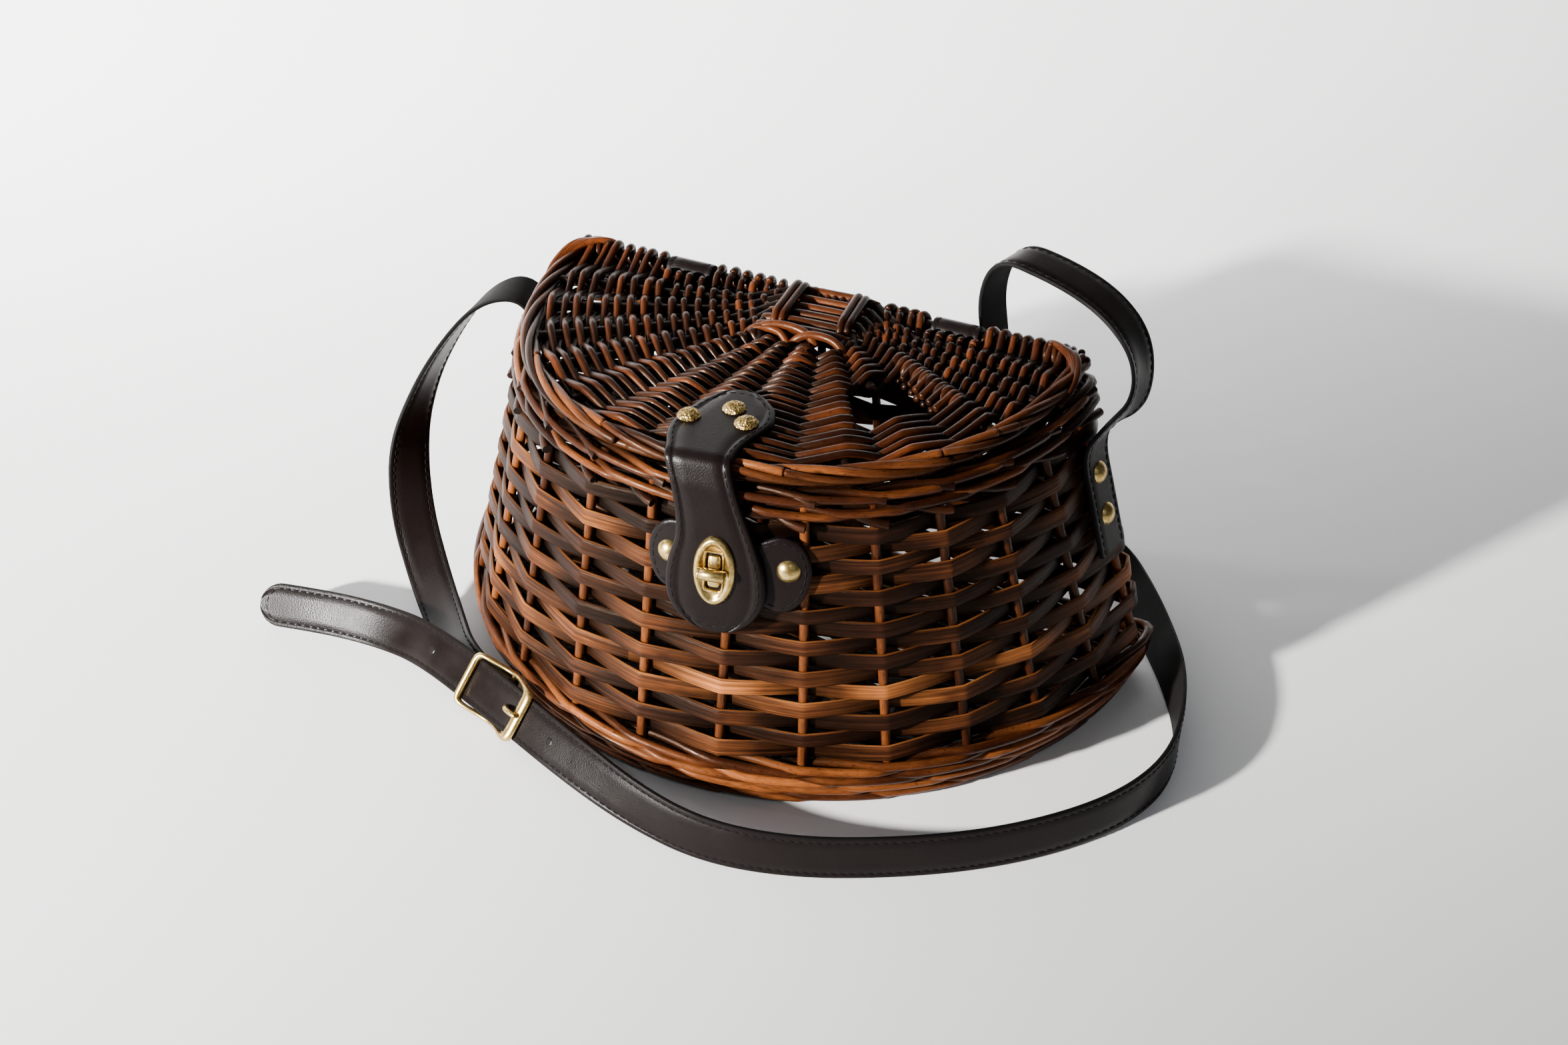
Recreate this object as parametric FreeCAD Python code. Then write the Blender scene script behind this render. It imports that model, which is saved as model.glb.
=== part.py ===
import FreeCAD, Part
import math
import os

# Wicker creel basket with a flat back, a bowed front and a hinged woven lid.
# Millimetres, +X to the basket's right, +Y to its flat back, +Z up.
# The origin is on the floor, in the middle of the basket's footprint.

V = FreeCAD.Vector

# --- driving dimensions -----------------------------------------------------

# Line of the upright stakes, which is the middle of the wall
MID_HALF_WIDTH = 178.8      # at floor level
MID_DEPTH = 179.2           # at floor level, back to front
MID_BACK_Y = 87.9           # at floor level
LEAN_WIDTH = 0.2921         # half width lost per mm of height
LEAN_DEPTH = 0.20           # depth lost per mm of height
LEAN_BACK = 0.0243          # back line moves forward per mm of height
BELLY_Z = 22.0              # the wall is widest here and tucks in below it
TUCK_WIDTH = 16.4           # half width the tuck takes off at the floor
TUCK_DEPTH = 18.4
TUCK_BACK = 5.0
FOOT_ROUNDNESS = 2.0        # exponent of the bow: 2 is an ellipse
RIM_ROUNDNESS = 2.25
ROUND_TO_Z = 162.0          # the bow squares up from the belly to here

FOOT_TOP = 29.0             # top of the round-rod foot waling
WEAVE_TOP = 148.0           # top of the flat split-willow weave
WALING_TOP = 156.0          # top of the upper round-rod waling
RIM_TOP = 161.5             # top of the rim border
WALING_HALF = 5.6           # half thickness of the waling
WEAVE_HALF = 3.9            # half thickness of the flat weave
RIM_HALF = 6.0
STAKE_R = 2.3
STAKE_FROM = 22.0
STAKE_TO = 159.0
FRONT_STAKES = 14
STAKE_SHIFT = 0.04          # turns the front stakes off the middle, in radians
BACK_STAKES = 9

BASE_BOTTOM = 2.0
BASE_TOP = 10.0
BASE_STICK_R = 2.6
BASE_STICK_STEP = 40.0

# Lid
HINGE_Y = 84.3
HINGE_Z = 167.0
LID_BOTTOM = 162.0
LID_TOP = 172.0
LID_HALF_WIDTH = 134.0
LID_FRONT_Y = -65.4
LID_BORDER = 9.0            # width of the twisted border
BACK_ROD_R = 3.5
BACK_WRAP_R = 5.0
BACK_WRAP_END = 127.0
RIB_R = 2.3
FAN_X = 6.0                 # the lid's ribs fan out from here
FAN_Y = 76.0
FAN_HALF_WIDTH = 22.0
FAN_DEPTH = 34.0
FAN_DEG = [-8, -15.5, -22.5, -30, -49, -62, -82, -96, -108, -121, -134, -146, -158, -169]
CUT_RIB = 4                 # this rib stops at the fish hole
HOLE_INNER = 69.0           # fish hole, as distances from the fan's middle
HOLE_OUTER = 101.0

# Leather hinge loops
LOOP_X = 69.0
LOOP_HALF = 12.5
LOOP_GAP = 1.5
LOOP_BOTTOM = 146.0
ROD_CLEARANCE = 0.07

# Latch, square to the wall at the lock
LATCH_X = 22.0
LATCH_Z = 123.0
LATCH_YAW = 8.0
LATCH_LEAN = 10.0
LEATHER = 2.2
FLAP_LEATHER = 2.4
FLAP_OFF = 3.4              # back of the flap, out from the wall
FOLD_S = -11.5              # fold's middle along the latch, from the lock
FOLD_HALF = 15.5

# Strap
STRAP_WIDTH = 22.0
STRAP_THICK = 2.2
PUNCH_R = 1.6
PUNCH_STEP = 31.0


# --- basket outline ---------------------------------------------------------

def roundness(z):
    share = (z - BELLY_Z) / (ROUND_TO_Z - BELLY_Z)
    share = min(max(share, 0.0), 1.0)
    return FOOT_ROUNDNESS + (RIM_ROUNDNESS - FOOT_ROUNDNESS) * share


def bow(half_width, back_y, depth, power, angle, z):
    """Point of a superellipse bow: angle 0 is the right end of the flat back."""
    c = math.cos(angle)
    s = max(math.sin(angle), 0.0)
    x = half_width * math.copysign(abs(c) ** (2.0 / power), c)
    return V(x, back_y - depth * s ** (2.0 / power), z)


def tuck(z):
    return max(0.0, 1.0 - z / BELLY_Z)


def wall_half_width(z, offset):
    return MID_HALF_WIDTH - LEAN_WIDTH * z - TUCK_WIDTH * tuck(z) + offset


def wall_back_y(z, offset):
    return MID_BACK_Y - LEAN_BACK * z - TUCK_BACK * tuck(z) + offset


def wall_point(angle, z, offset=0.0):
    depth = MID_DEPTH - LEAN_DEPTH * z - TUCK_DEPTH * tuck(z) + 2.0 * offset
    return bow(wall_half_width(z, offset), wall_back_y(z, offset), depth, roundness(z), angle, z)


def wall_angle(x, z, offset):
    """Angle of the front wall's point with this x."""
    half = wall_half_width(z, offset)
    c = math.copysign(abs(x / half) ** (roundness(z) / 2.0), x)
    return math.acos(c)


def wall_normal(angle, z, offset):
    along = wall_point(angle + 0.01, z, offset) - wall_point(angle - 0.01, z, offset)
    up = wall_point(angle, z + 1.0, offset) - wall_point(angle, z - 1.0, offset)
    normal = up.cross(along)
    if normal.y > 0:
        normal = normal * -1.0
    normal.normalize()
    return normal


def closed_bow(point_at):
    """Wire of a bow closed by its flat back; point_at gives its points."""
    steps = 28
    points = [point_at(math.pi * i / steps) for i in range(steps + 1)]
    curve = Part.BSplineCurve()
    curve.interpolate(Points=points)
    return Part.Wire([curve.toShape(), Part.makeLine(points[-1], points[0])])


def wall_wire(z, offset):
    return closed_bow(lambda angle: wall_point(angle, z, offset))


def wall_solid(z_low, z_high, offset):
    heights = [z_low, z_high]
    if z_low < BELLY_Z < z_high:
        heights.insert(1, BELLY_Z)
    return Part.makeLoft([wall_wire(z, offset) for z in heights], True, True)


def wall_ring(z_low, z_high, half):
    return wall_solid(z_low, z_high, half).cut(wall_solid(z_low, z_high, -half))


def rod(start, end, radius):
    run = end - start
    return Part.makeCylinder(radius, run.Length, start, run)


def save(name, shape):
    shape.exportStep("parts/" + name + ".step")
    print(name, "solids", len(shape.Solids), "valid", shape.isValid(),
          "cm3", round(shape.Volume / 1000.0, 2))


# --- frames for leather and metal set square to the wall ----------------------

class Frame:
    """Local axes u (along), w (up) and n (out), about an origin."""

    def __init__(self, origin, u, w, n):
        self.origin = origin
        self.u = u
        self.w = w
        self.n = n

    def at(self, u, w, n):
        return self.origin + self.u * u + self.w * w + self.n * n

    def place(self, shape):
        """Move a shape drawn with x, y, z for u, w, n into this frame."""
        m = FreeCAD.Matrix(self.u.x, self.w.x, self.n.x, self.origin.x,
                           self.u.y, self.w.y, self.n.y, self.origin.y,
                           self.u.z, self.w.z, self.n.z, self.origin.z)
        placed = shape.copy()
        placed.Placement = FreeCAD.Placement(m)
        return placed


def wall_frame(angle, z, offset):
    n = wall_normal(angle, z, offset)
    u = V(0, 0, 1).cross(n)
    u.normalize()
    return Frame(wall_point(angle, z, offset), u, n.cross(u), n)


def smooth_outline(points):
    curve = Part.BSplineCurve()
    curve.interpolate(Points=[V(x, y, 0) for x, y in points], PeriodicFlag=True)
    return Part.Wire([curve.toShape()])


def plate(wire, low, high):
    face = Part.Face(wire)
    face.translate(V(0, 0, low))
    return face.extrude(V(0, 0, high - low))


def rivet(head_r, head_h, shank_r, grip, tail_r, tail_h):
    """Domed rivet along z, its head's underside at z = 0."""
    dome_r = (head_r ** 2 + head_h ** 2) / (2.0 * head_h)
    dome = Part.makeSphere(dome_r, V(0, 0, head_h - dome_r))
    head = dome.common(Part.makeCylinder(head_r + 1.0, head_h + 1.0))
    shank = Part.makeCylinder(shank_r, grip, V(0, 0, -grip))
    tail = Part.makeCylinder(tail_r, tail_h, V(0, 0, -grip - tail_h))
    return head.fuse([shank, tail]).removeSplitter()


# --- basket -------------------------------------------------------------------

def stake_lines():
    lines = []
    for i in range(FRONT_STAKES):
        shift = STAKE_SHIFT * (2.0 * max(0.0, i - 8.0) / 5.0 - 1.0)
        angle = (i + 0.5) * math.pi / FRONT_STAKES + shift
        lines.append((wall_point(angle, STAKE_FROM), wall_point(angle, STAKE_TO)))
    for i in range(BACK_STAKES):
        share = 2.0 * (i + 1) / (BACK_STAKES + 1) - 1.0
        low = wall_point(0.0, STAKE_FROM)
        high = wall_point(0.0, STAKE_TO)
        lines.append((V(low.x * share, low.y, low.z), V(high.x * share, high.y, high.z)))
    return lines


stakes = [rod(low, high, STAKE_R) for low, high in stake_lines()]
foot_waling = wall_ring(0.0, FOOT_TOP, WALING_HALF).cut(stakes)
upper_waling = wall_ring(WEAVE_TOP, WALING_TOP, WALING_HALF).cut(stakes)
rim_border = wall_ring(WALING_TOP, RIM_TOP, RIM_HALF).cut(stakes)


def base_sticks():
    middle = (BASE_BOTTOM + BASE_TOP) / 2.0
    sticks = []
    for i in range(-3, 4):
        x = i * BASE_STICK_STEP
        inset = WALING_HALF + 8.0
        front = wall_point(wall_angle(x, middle, -inset), middle, -inset)
        back = wall_point(0.0, middle, -inset)
        sticks.append(rod(front, V(x, back.y, middle), BASE_STICK_R))
    return sticks


sticks = base_sticks()
base_weave = wall_solid(BASE_BOTTOM, BASE_TOP, -WALING_HALF - 0.2).cut(sticks)


# --- lid ------------------------------------------------------------------------

def lid_point(angle, inset, z):
    depth = HINGE_Y - LID_FRONT_Y
    return bow(LID_HALF_WIDTH - inset, HINGE_Y, depth - inset, RIM_ROUNDNESS, angle, z)


def lid_plate(inset, low, high, back_y):
    wire = closed_bow(lambda angle: lid_point(angle, inset, low))
    solid = Part.Face(wire).extrude(V(0, 0, high - low))
    behind = Part.makeBox(400, 100, 60, V(-200, back_y, low - 20))
    return solid.cut(behind)


def fan_direction(index):
    angle = math.radians(FAN_DEG[index])
    return math.cos(angle), math.sin(angle)


def rib_line(index):
    c, s = fan_direction(index)
    start = V(FAN_X + FAN_HALF_WIDTH * c, FAN_Y + FAN_DEPTH * s, HINGE_Z)
    reach = 40.0
    half = LID_HALF_WIDTH - LID_BORDER
    depth = HINGE_Y - LID_FRONT_Y - LID_BORDER
    while True:
        x = FAN_X + reach * c
        y = FAN_Y + reach * s
        if abs(x / half) ** RIM_ROUNDNESS + abs((HINGE_Y - y) / depth) ** RIM_ROUNDNESS > 1.0:
            break
        reach += 0.5
    reach -= 2.0
    if index == CUT_RIB:
        reach = HOLE_INNER + 2.0
    return start, V(FAN_X + reach * c, FAN_Y + reach * s, HINGE_Z)


def fish_hole():
    """Opening between the ribs either side of the cut rib."""
    corners = []
    for index, side in ((CUT_RIB - 1, -1), (CUT_RIB + 1, 1)):
        c, s = fan_direction(index)
        edge = RIB_R + 1.2
        shift = V(side * s * edge, -side * c * edge, 0)
        inner = V(FAN_X + HOLE_INNER * c, FAN_Y + HOLE_INNER * s, LID_BOTTOM - 1) + shift
        outer = V(FAN_X + HOLE_OUTER * c, FAN_Y + HOLE_OUTER * s, LID_BOTTOM - 1) + shift
        corners.append((inner, outer))
    (a, b), (d, c) = corners
    face = Part.Face(Part.makePolygon([a, b, c, d, a]))
    return face.extrude(V(0, 0, LID_TOP - LID_BOTTOM + 2))


BAND_LEFT = -13.0
BAND_RIGHT = 25.0
BAND_FRONT = 44.0
BAND_BACK = 77.0
BAND_FLOOR = 169.6
BAND_RODS = 6
BAND_ROD_R = 1.9

lid_back_y = HINGE_Y - BACK_WRAP_R - 0.3
rib_rods = [rod(*rib_line(i), RIB_R) for i in range(len(FAN_DEG))]
lid_border = lid_plate(0.0, LID_BOTTOM, LID_TOP, lid_back_y)
lid_border = lid_border.cut(lid_plate(LID_BORDER, LID_BOTTOM - 1, LID_TOP + 1, lid_back_y + 1))
band_pocket = Part.makeBox(BAND_RIGHT - BAND_LEFT, BAND_BACK - BAND_FRONT, 5,
                           V(BAND_LEFT, BAND_FRONT, BAND_FLOOR))
loop_notches = []
for side in (-1, 1):
    notch_left = side * LOOP_X - LOOP_HALF - LOOP_GAP
    loop_notches.append(Part.makeBox(2 * (LOOP_HALF + LOOP_GAP), 12, 20,
                                     V(notch_left, HINGE_Y - 9.4, LID_BOTTOM - 5)))
hole = fish_hole()
lid_weave = lid_plate(LID_BORDER, LID_BOTTOM, LID_TOP, lid_back_y)
lid_weave = lid_weave.cut([band_pocket, hole] + loop_notches + rib_rods)
lid_back_rod = rod(V(-133, HINGE_Y, HINGE_Z), V(133, HINGE_Y, HINGE_Z), BACK_ROD_R)


def back_wrap(x_low, x_high):
    outer = rod(V(x_low, HINGE_Y, HINGE_Z), V(x_high, HINGE_Y, HINGE_Z), BACK_WRAP_R)
    return outer.cut(rod(V(x_low - 1, HINGE_Y, HINGE_Z), V(x_high + 1, HINGE_Y, HINGE_Z), BACK_ROD_R))


loop_inner = LOOP_X - LOOP_HALF - LOOP_GAP
loop_outer = LOOP_X + LOOP_HALF + LOOP_GAP
wraps = [back_wrap(-loop_inner, loop_inner),
         back_wrap(loop_outer, BACK_WRAP_END),
         back_wrap(-BACK_WRAP_END, -loop_outer)]

band_rods = []
for i in range(BAND_RODS):
    y = BAND_FRONT + 3.0 + i * (BAND_BACK - BAND_FRONT - 6.0) / (BAND_RODS - 1)
    z = BAND_FLOOR + BAND_ROD_R
    band_rods.append(rod(V(BAND_LEFT + 1, y, z), V(BAND_RIGHT - 1, y, z), BAND_ROD_R))

binding_z = BAND_FLOOR + 3 * BAND_ROD_R
bindings = [rod(V(-11, 81, binding_z), V(-7, 45, binding_z), BAND_ROD_R),
            rod(V(20, 81, binding_z), V(23, 45, binding_z), BAND_ROD_R)]


def corner_binding(side):
    """Knot of rods at a back corner of the lid, round the end of the back rod."""
    knot_r = 5.6
    x = side * 130.5
    knot = Part.makeCylinder(knot_r, 6, V(x - 3, HINGE_Y - 0.8, HINGE_Z + 1.0), V(1, 0, 0))
    knot = knot.makeFillet(2.0, knot.Edges)
    floor = Part.makeBox(40, 40, 20, V(x - 20, HINGE_Y - 20, LID_BOTTOM - 19.8))
    return knot.cut([floor, lid_back_rod, lid_border, wraps[0], wraps[1], wraps[2]])


# --- hinge loops ------------------------------------------------------------------

def hinge_loop(side):
    """Leather folded over the lid's back rod and down both faces of the rim."""
    outer_r = BACK_ROD_R + LEATHER + 0.5
    leg = RIM_HALF + LEATHER + 0.4
    inner = RIM_HALF + 0.4
    bore_r = BACK_ROD_R + ROD_CLEARANCE
    x = side * LOOP_X - LOOP_HALF

    def profile(points):
        return [V(x, HINGE_Y + y, z) for y, z in points]

    left = profile([(-outer_r, HINGE_Z), (-leg, RIM_TOP), (-leg, LOOP_BOTTOM),
                    (leg, LOOP_BOTTOM), (leg, RIM_TOP), (outer_r, HINGE_Z)])
    edges = [Part.makeLine(a, b) for a, b in zip(left, left[1:])]
    over = Part.Arc(left[-1], V(x, HINGE_Y, HINGE_Z + outer_r), left[0])
    block = Part.Face(Part.Wire(edges + [over.toShape()])).extrude(V(2 * LOOP_HALF, 0, 0))
    over_rim = Part.makeBox(2 * LOOP_HALF + 2, 2 * inner, RIM_TOP + 0.2 - LOOP_BOTTOM + 1,
                            V(x - 1, HINGE_Y - inner, LOOP_BOTTOM - 1))
    throat = Part.makeBox(2 * LOOP_HALF + 2, 2 * bore_r, HINGE_Z - RIM_TOP,
                          V(x - 1, HINGE_Y - bore_r, RIM_TOP))
    bore = Part.makeCylinder(bore_r, 2 * LOOP_HALF + 2, V(x - 1, HINGE_Y, HINGE_Z), V(1, 0, 0))
    return block.cut([over_rim, throat, bore])


# --- latch ---------------------------------------------------------------------------

yaw = math.radians(LATCH_YAW)
lean = math.radians(LATCH_LEAN)
latch_out = V(math.sin(yaw), -math.cos(yaw), 0)
latch_u = V(math.cos(yaw), math.sin(yaw), 0)
latch_n = latch_out * math.cos(lean) + V(0, 0, math.sin(lean))
latch_w = latch_n.cross(latch_u)
latch_angle = wall_angle(LATCH_X, LATCH_Z, WEAVE_HALF)
latch_origin = wall_point(latch_angle, LATCH_Z, WEAVE_HALF)
latch = Frame(latch_origin, latch_u, latch_w, latch_n)

# Dog-bone patch, bent to the wall
PATCH_OUTLINE = [(-33, 2), (-29, 14), (-20, 18.5), (-10, 15), (3.5, 13), (17, 15), (27, 18.5),
                 (36, 14), (40, 2), (36, -11), (27, -15), (17, -11.5), (3.5, -9.5),
                 (-10, -11.5), (-20, -15), (-29, -11)]
PATCH_RIVETS = [(-23.0, 2.9), (30.4, 2.9)]
patch_shell = wall_solid(95.0, 147.0, WEAVE_HALF + LEATHER).cut(wall_solid(94.0, 148.0, WEAVE_HALF))
latch_patch = patch_shell.common(latch.place(plate(smooth_outline(PATCH_OUTLINE), -15.0, 12.0)))

WALL_GRIP = 2 * WEAVE_HALF + LEATHER


def weave_gap(frame):
    """Square gap between the strips of the wall, round a rivet's shank."""
    half = 1.95
    return frame.place(Part.makeBox(2 * half, 2 * half, 24, V(-half, -half, -18)))


def wall_rivet_frame(u, w, standoff):
    """Frame on the leather over the wall, below the latch's point (u, w)."""
    spot = latch.at(u, w, 0)
    angle = wall_angle(spot.x, spot.z, WEAVE_HALF)
    frame = wall_frame(angle, spot.z, WEAVE_HALF)
    frame.origin = frame.origin + frame.n * standoff
    return frame


patch_frames = [wall_rivet_frame(u, w, LEATHER) for u, w in PATCH_RIVETS]
patch_rivet = rivet(5.3, 2.8, 1.8, WALL_GRIP, 4.0, 1.0)
patch_rivets = [frame.place(patch_rivet) for frame in patch_frames]
patch_shanks = [frame.place(Part.makeCylinder(1.8, 20, V(0, 0, -16))) for frame in patch_frames]
latch_patch = latch_patch.cut(patch_shanks)

# Turn lock: base and boss on the patch, plate on the flap, button in the boss
BASE_PLATE = (LEATHER + 0.05, LEATHER + 0.85)
FLAP_BACK = FLAP_OFF * math.cos(lean)
FLAP_FRONT = FLAP_BACK + FLAP_LEATHER * math.cos(lean)
PLATE_FRONT = FLAP_FRONT + 1.5
PLATE_RIM = PLATE_FRONT + 1.0
BOSS_TOP = PLATE_FRONT - 0.2
BUTTON_R = 2.4
BUTTON_OUT = PLATE_RIM + BUTTON_R - 0.3
BUTTON_LENGTH = 13.0
SPINDLE_R = 1.2
SPINDLE_CLEARANCE = 0.05
LOCK_W = 0.8
SLOT_HALF = 3.3
SLOT_HALF_HEIGHT = 9.0


def oval(half_u, half_w):
    wire = Part.Wire([Part.Ellipse(V(0, 0, 0), half_w, half_u).toShape()])
    wire.rotate(V(0, 0, 0), V(0, 0, 1), 90)
    wire.translate(V(0, LOCK_W, 0))
    return wire


def lock_slot(grow, low, high):
    return Part.makeBox(2 * (SLOT_HALF + grow), 2 * (SLOT_HALF_HEIGHT + grow), high - low,
                        V(-SLOT_HALF - grow, LOCK_W - SLOT_HALF_HEIGHT - grow, low))


base_plate = plate(oval(8.0, 14.0), *BASE_PLATE)
boss = Part.makeCylinder(2.9, BOSS_TOP - BASE_PLATE[0], V(0, LOCK_W, BASE_PLATE[0]))
bore = Part.makeCylinder(SPINDLE_R + SPINDLE_CLEARANCE, 10, V(0, LOCK_W, BASE_PLATE[0] + 0.4))
lock_base = latch.place(base_plate.fuse(boss).removeSplitter().cut(bore))

plate_body = plate(oval(9.6, 16.4), FLAP_FRONT, PLATE_RIM)
plate_dish = plate(oval(7.4, 14.2), PLATE_FRONT, PLATE_RIM + 1)
lock_plate = latch.place(plate_body.cut([plate_dish, lock_slot(0, FLAP_FRONT - 1, PLATE_RIM)]))

spindle_from = BASE_PLATE[0] + 0.6
spindle = Part.makeCylinder(SPINDLE_R, BUTTON_OUT - spindle_from, V(0, LOCK_W, spindle_from))
neck = Part.makeCylinder(2.2, BUTTON_OUT - BOSS_TOP - 0.3, V(0, LOCK_W, BOSS_TOP + 0.3))
roll = Part.makeCylinder(BUTTON_R, BUTTON_LENGTH,
                         V(-BUTTON_LENGTH / 2, LOCK_W, BUTTON_OUT), V(1, 0, 0))
turn_button = latch.place(spindle.fuse([neck, roll]).removeSplitter())

# Flap: leather from the fold at the lid's front edge down over the lock
FOLD_OUT = -7.8
FOLD_Z = LID_TOP
BEND_Z = 161.0
FLAP_BOTTOM = 99.0


def flap_back(z):
    return FLAP_OFF - math.tan(lean) * (z - LATCH_Z)


def flap_profile():
    """Side view of the bent flap: distance out from the lock against height."""
    t = FLAP_LEATHER
    inner = [(FOLD_OUT, FOLD_Z), (flap_back(BEND_Z), BEND_Z), (flap_back(FLAP_BOTTOM - 5), FLAP_BOTTOM - 5)]
    outer = [(h + t, z) for h, z in reversed(inner)]
    outer[-1] = (FOLD_OUT + t, FOLD_Z - t)
    points = [latch_origin + latch_u * -60 + latch_out * h + V(0, 0, z - LATCH_Z)
              for h, z in inner + outer]
    return Part.Face(Part.makePolygon(points + points[:1])).extrude(latch_u * 120)


def flap_outline():
    """Front view of the flap: a neck at the fold and a round lobe over the lock."""
    side = [(FOLD_S - FOLD_HALF, FOLD_Z + 1), (-19.5, 153), (-18.5, 144), (-21.8, 132),
            (-21.8, 117), (-17, 106), (-9, 100.5), (0.5, FLAP_BOTTOM), (10, 101),
            (19, 108), (22.3, 118), (21.3, 129), (17.3, 141), (13, 153),
            (FOLD_S + FOLD_HALF, FOLD_Z + 1)]
    points = [latch_origin + latch_u * s + latch_out * -40 + V(0, 0, z - LATCH_Z) for s, z in side]
    curve = Part.BSplineCurve()
    curve.interpolate(Points=points)
    wire = Part.Wire([curve.toShape(), Part.makeLine(points[-1], points[0])])
    return Part.Face(wire).extrude(latch_out * 80)


latch_flap = flap_profile().common(flap_outline())
latch_flap = latch_flap.cut(latch.place(lock_slot(0.4, 0.0, 12.0)))

# Tab: the same leather where it lies on the lid, ending at the fold
TAB_OUTLINE = [(-14.6, -51), (-13.6, -39), (-9.1, -24.4), (-3.7, -16.8), (6.4, -12.9),
               (15.3, -16.4), (23.0, -21), (26.8, -31), (25.1, -40.7), (22.5, -50)]
TAB_RIVETS = [(-6.9, -41.1), (8.7, -28.0), (18.5, -36.6)]
TAB_TOP = LID_TOP + FLAP_LEATHER


def lid_tab():
    fold = latch_origin + latch_out * (FOLD_OUT + 0.02)
    left = fold + latch_u * (FOLD_S - FOLD_HALF)
    right = fold + latch_u * (FOLD_S + FOLD_HALF)
    points = [V(left.x, left.y, LID_TOP)]
    points += [V(x, y, LID_TOP) for x, y in TAB_OUTLINE]
    points += [V(right.x, right.y, LID_TOP)]
    sides = Part.BSplineCurve()
    sides.interpolate(Points=points)
    wire = Part.Wire([sides.toShape(), Part.makeLine(points[-1], points[0])])
    tab = Part.Face(wire).extrude(V(0, 0, FLAP_LEATHER))
    # The fold end is mitred, so that the flap can lift past level
    mitre = Part.makeBox(60, 10, 10, V(-30, -10, 0))
    mitre.rotate(V(0, 0, 0), V(1, 0, 0), -45)
    mitre.rotate(V(0, 0, 0), V(0, 0, 1), LATCH_YAW)
    mitre.translate(V(fold.x + latch_u.x * FOLD_S, fold.y + latch_u.y * FOLD_S, LID_TOP))
    return tab.cut(mitre)


LID_GRIP = LID_TOP - LID_BOTTOM + FLAP_LEATHER
tab_rivet = rivet(5.8, 3.2, 1.8, LID_GRIP, 4.0, 0.8)
tab_rivets = []
tab_shanks = []
for x, y in TAB_RIVETS:
    tab_rivets.append(tab_rivet.translated(V(x, y, TAB_TOP)))
    tab_shanks.append(Part.makeCylinder(1.8, 20, V(x, y, LID_BOTTOM - 3)))
tab = lid_tab().cut(tab_shanks)
lid_weave = lid_weave.cut(tab_shanks)
rib_rods = [rib.cut(tab_shanks) for rib in rib_rods]


# --- straps ---------------------------------------------------------------------------

# Buckle frame of reference: u runs along the strap towards its stitched end
BUCKLE_CENTRE = V(-92.3, -82.3, 16.8)
BUCKLE_U = V(0.92, -0.39, 0)
BUCKLE_W = V(0.31, 0.56, 0.77)

# Each route point is x, y, z of the strap's middle line, then the direction
# across the strap's width there.
RIGHT_ROUTE = [
    (158.4, 62.5, 86.0, 0.14, 0.99, 0.0),
    (151.3, 64.1, 111.0, 0.14, 0.99, 0.0),
    (143.5, 65.8, 137.0, 0.14, 0.99, 0.0),
    (150.0, 68.0, 149.0, 0.10, 0.99, -0.15),
    (157.5, 80.0, 156.0, 0.05, 0.90, -0.40),
    (155.0, 97.0, 163.0, 0.10, 0.90, -0.35),
    (145.0, 111.0, 173.0, 0.25, 0.93, -0.10),
    (128.0, 118.0, 183.0, 0.30, 0.95, 0.0),
    (105.0, 120.0, 191.0, 0.31, 0.95, 0.0),
    (80.0, 120.0, 196.0, 0.31, 0.95, 0.0),
    (71.0, 120.0, 174.0, 0.25, 0.97, 0.0),
    (75.0, 122.0, 142.0, 0.15, 0.98, 0.10),
    (79.0, 129.0, 105.0, 0.10, 0.97, 0.15),
    (84.0, 140.0, 66.0, 0.05, 0.95, 0.25),
    (94.0, 152.0, 34.0, 0.02, 0.86, 0.50),
    (115.0, 158.0, 16.0, 0.10, 0.72, 0.68),
    (139.0, 150.0, 12.3, 0.25, 0.45, 0.85),
    (158.0, 127.0, 12.0, 0.38, 0.32, 0.87),
    (176.0, 101.0, 11.3, 0.39, 0.30, 0.87),
    (193.0, 74.0, 11.4, 0.30, 0.15, 0.94),
    (206.0, 41.0, 11.8, 0.05, 0.02, 1.0),
    (210.0, 8.0, 11.8, -0.05, 0.01, 1.0),
    (201.0, -22.0, 11.8, -0.05, 0.04, 1.0),
    (181.0, -50.0, 11.7, -0.03, 0.05, 1.0),
    (152.0, -77.0, 11.8, -0.03, 0.06, 1.0),
    (117.0, -99.0, 11.7, -0.02, 0.08, 1.0),
    (78.0, -117.0, 11.8, -0.01, 0.10, 1.0),
    (38.0, -124.0, 11.5, 0.04, 0.20, 0.98),
    (0.0, -117.5, 12.4, 0.12, 0.33, 0.93),
    (-41.0, -104.1, 15.6, 0.28, 0.54, 0.79),
    (-92.5, -82.7, 17.2, 0.31, 0.56, 0.77),
    (-144.0, -60.4, 15.6, 0.31, 0.57, 0.77),
    (-176.0, -52.5, 10.8, 0.24, 0.56, 0.79),
    (-210.5, -54.2, 10.1, 0.12, 0.58, 0.80),
    (-243.0, -61.0, 10.0, 0.10, 0.60, 0.79),
]
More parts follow.
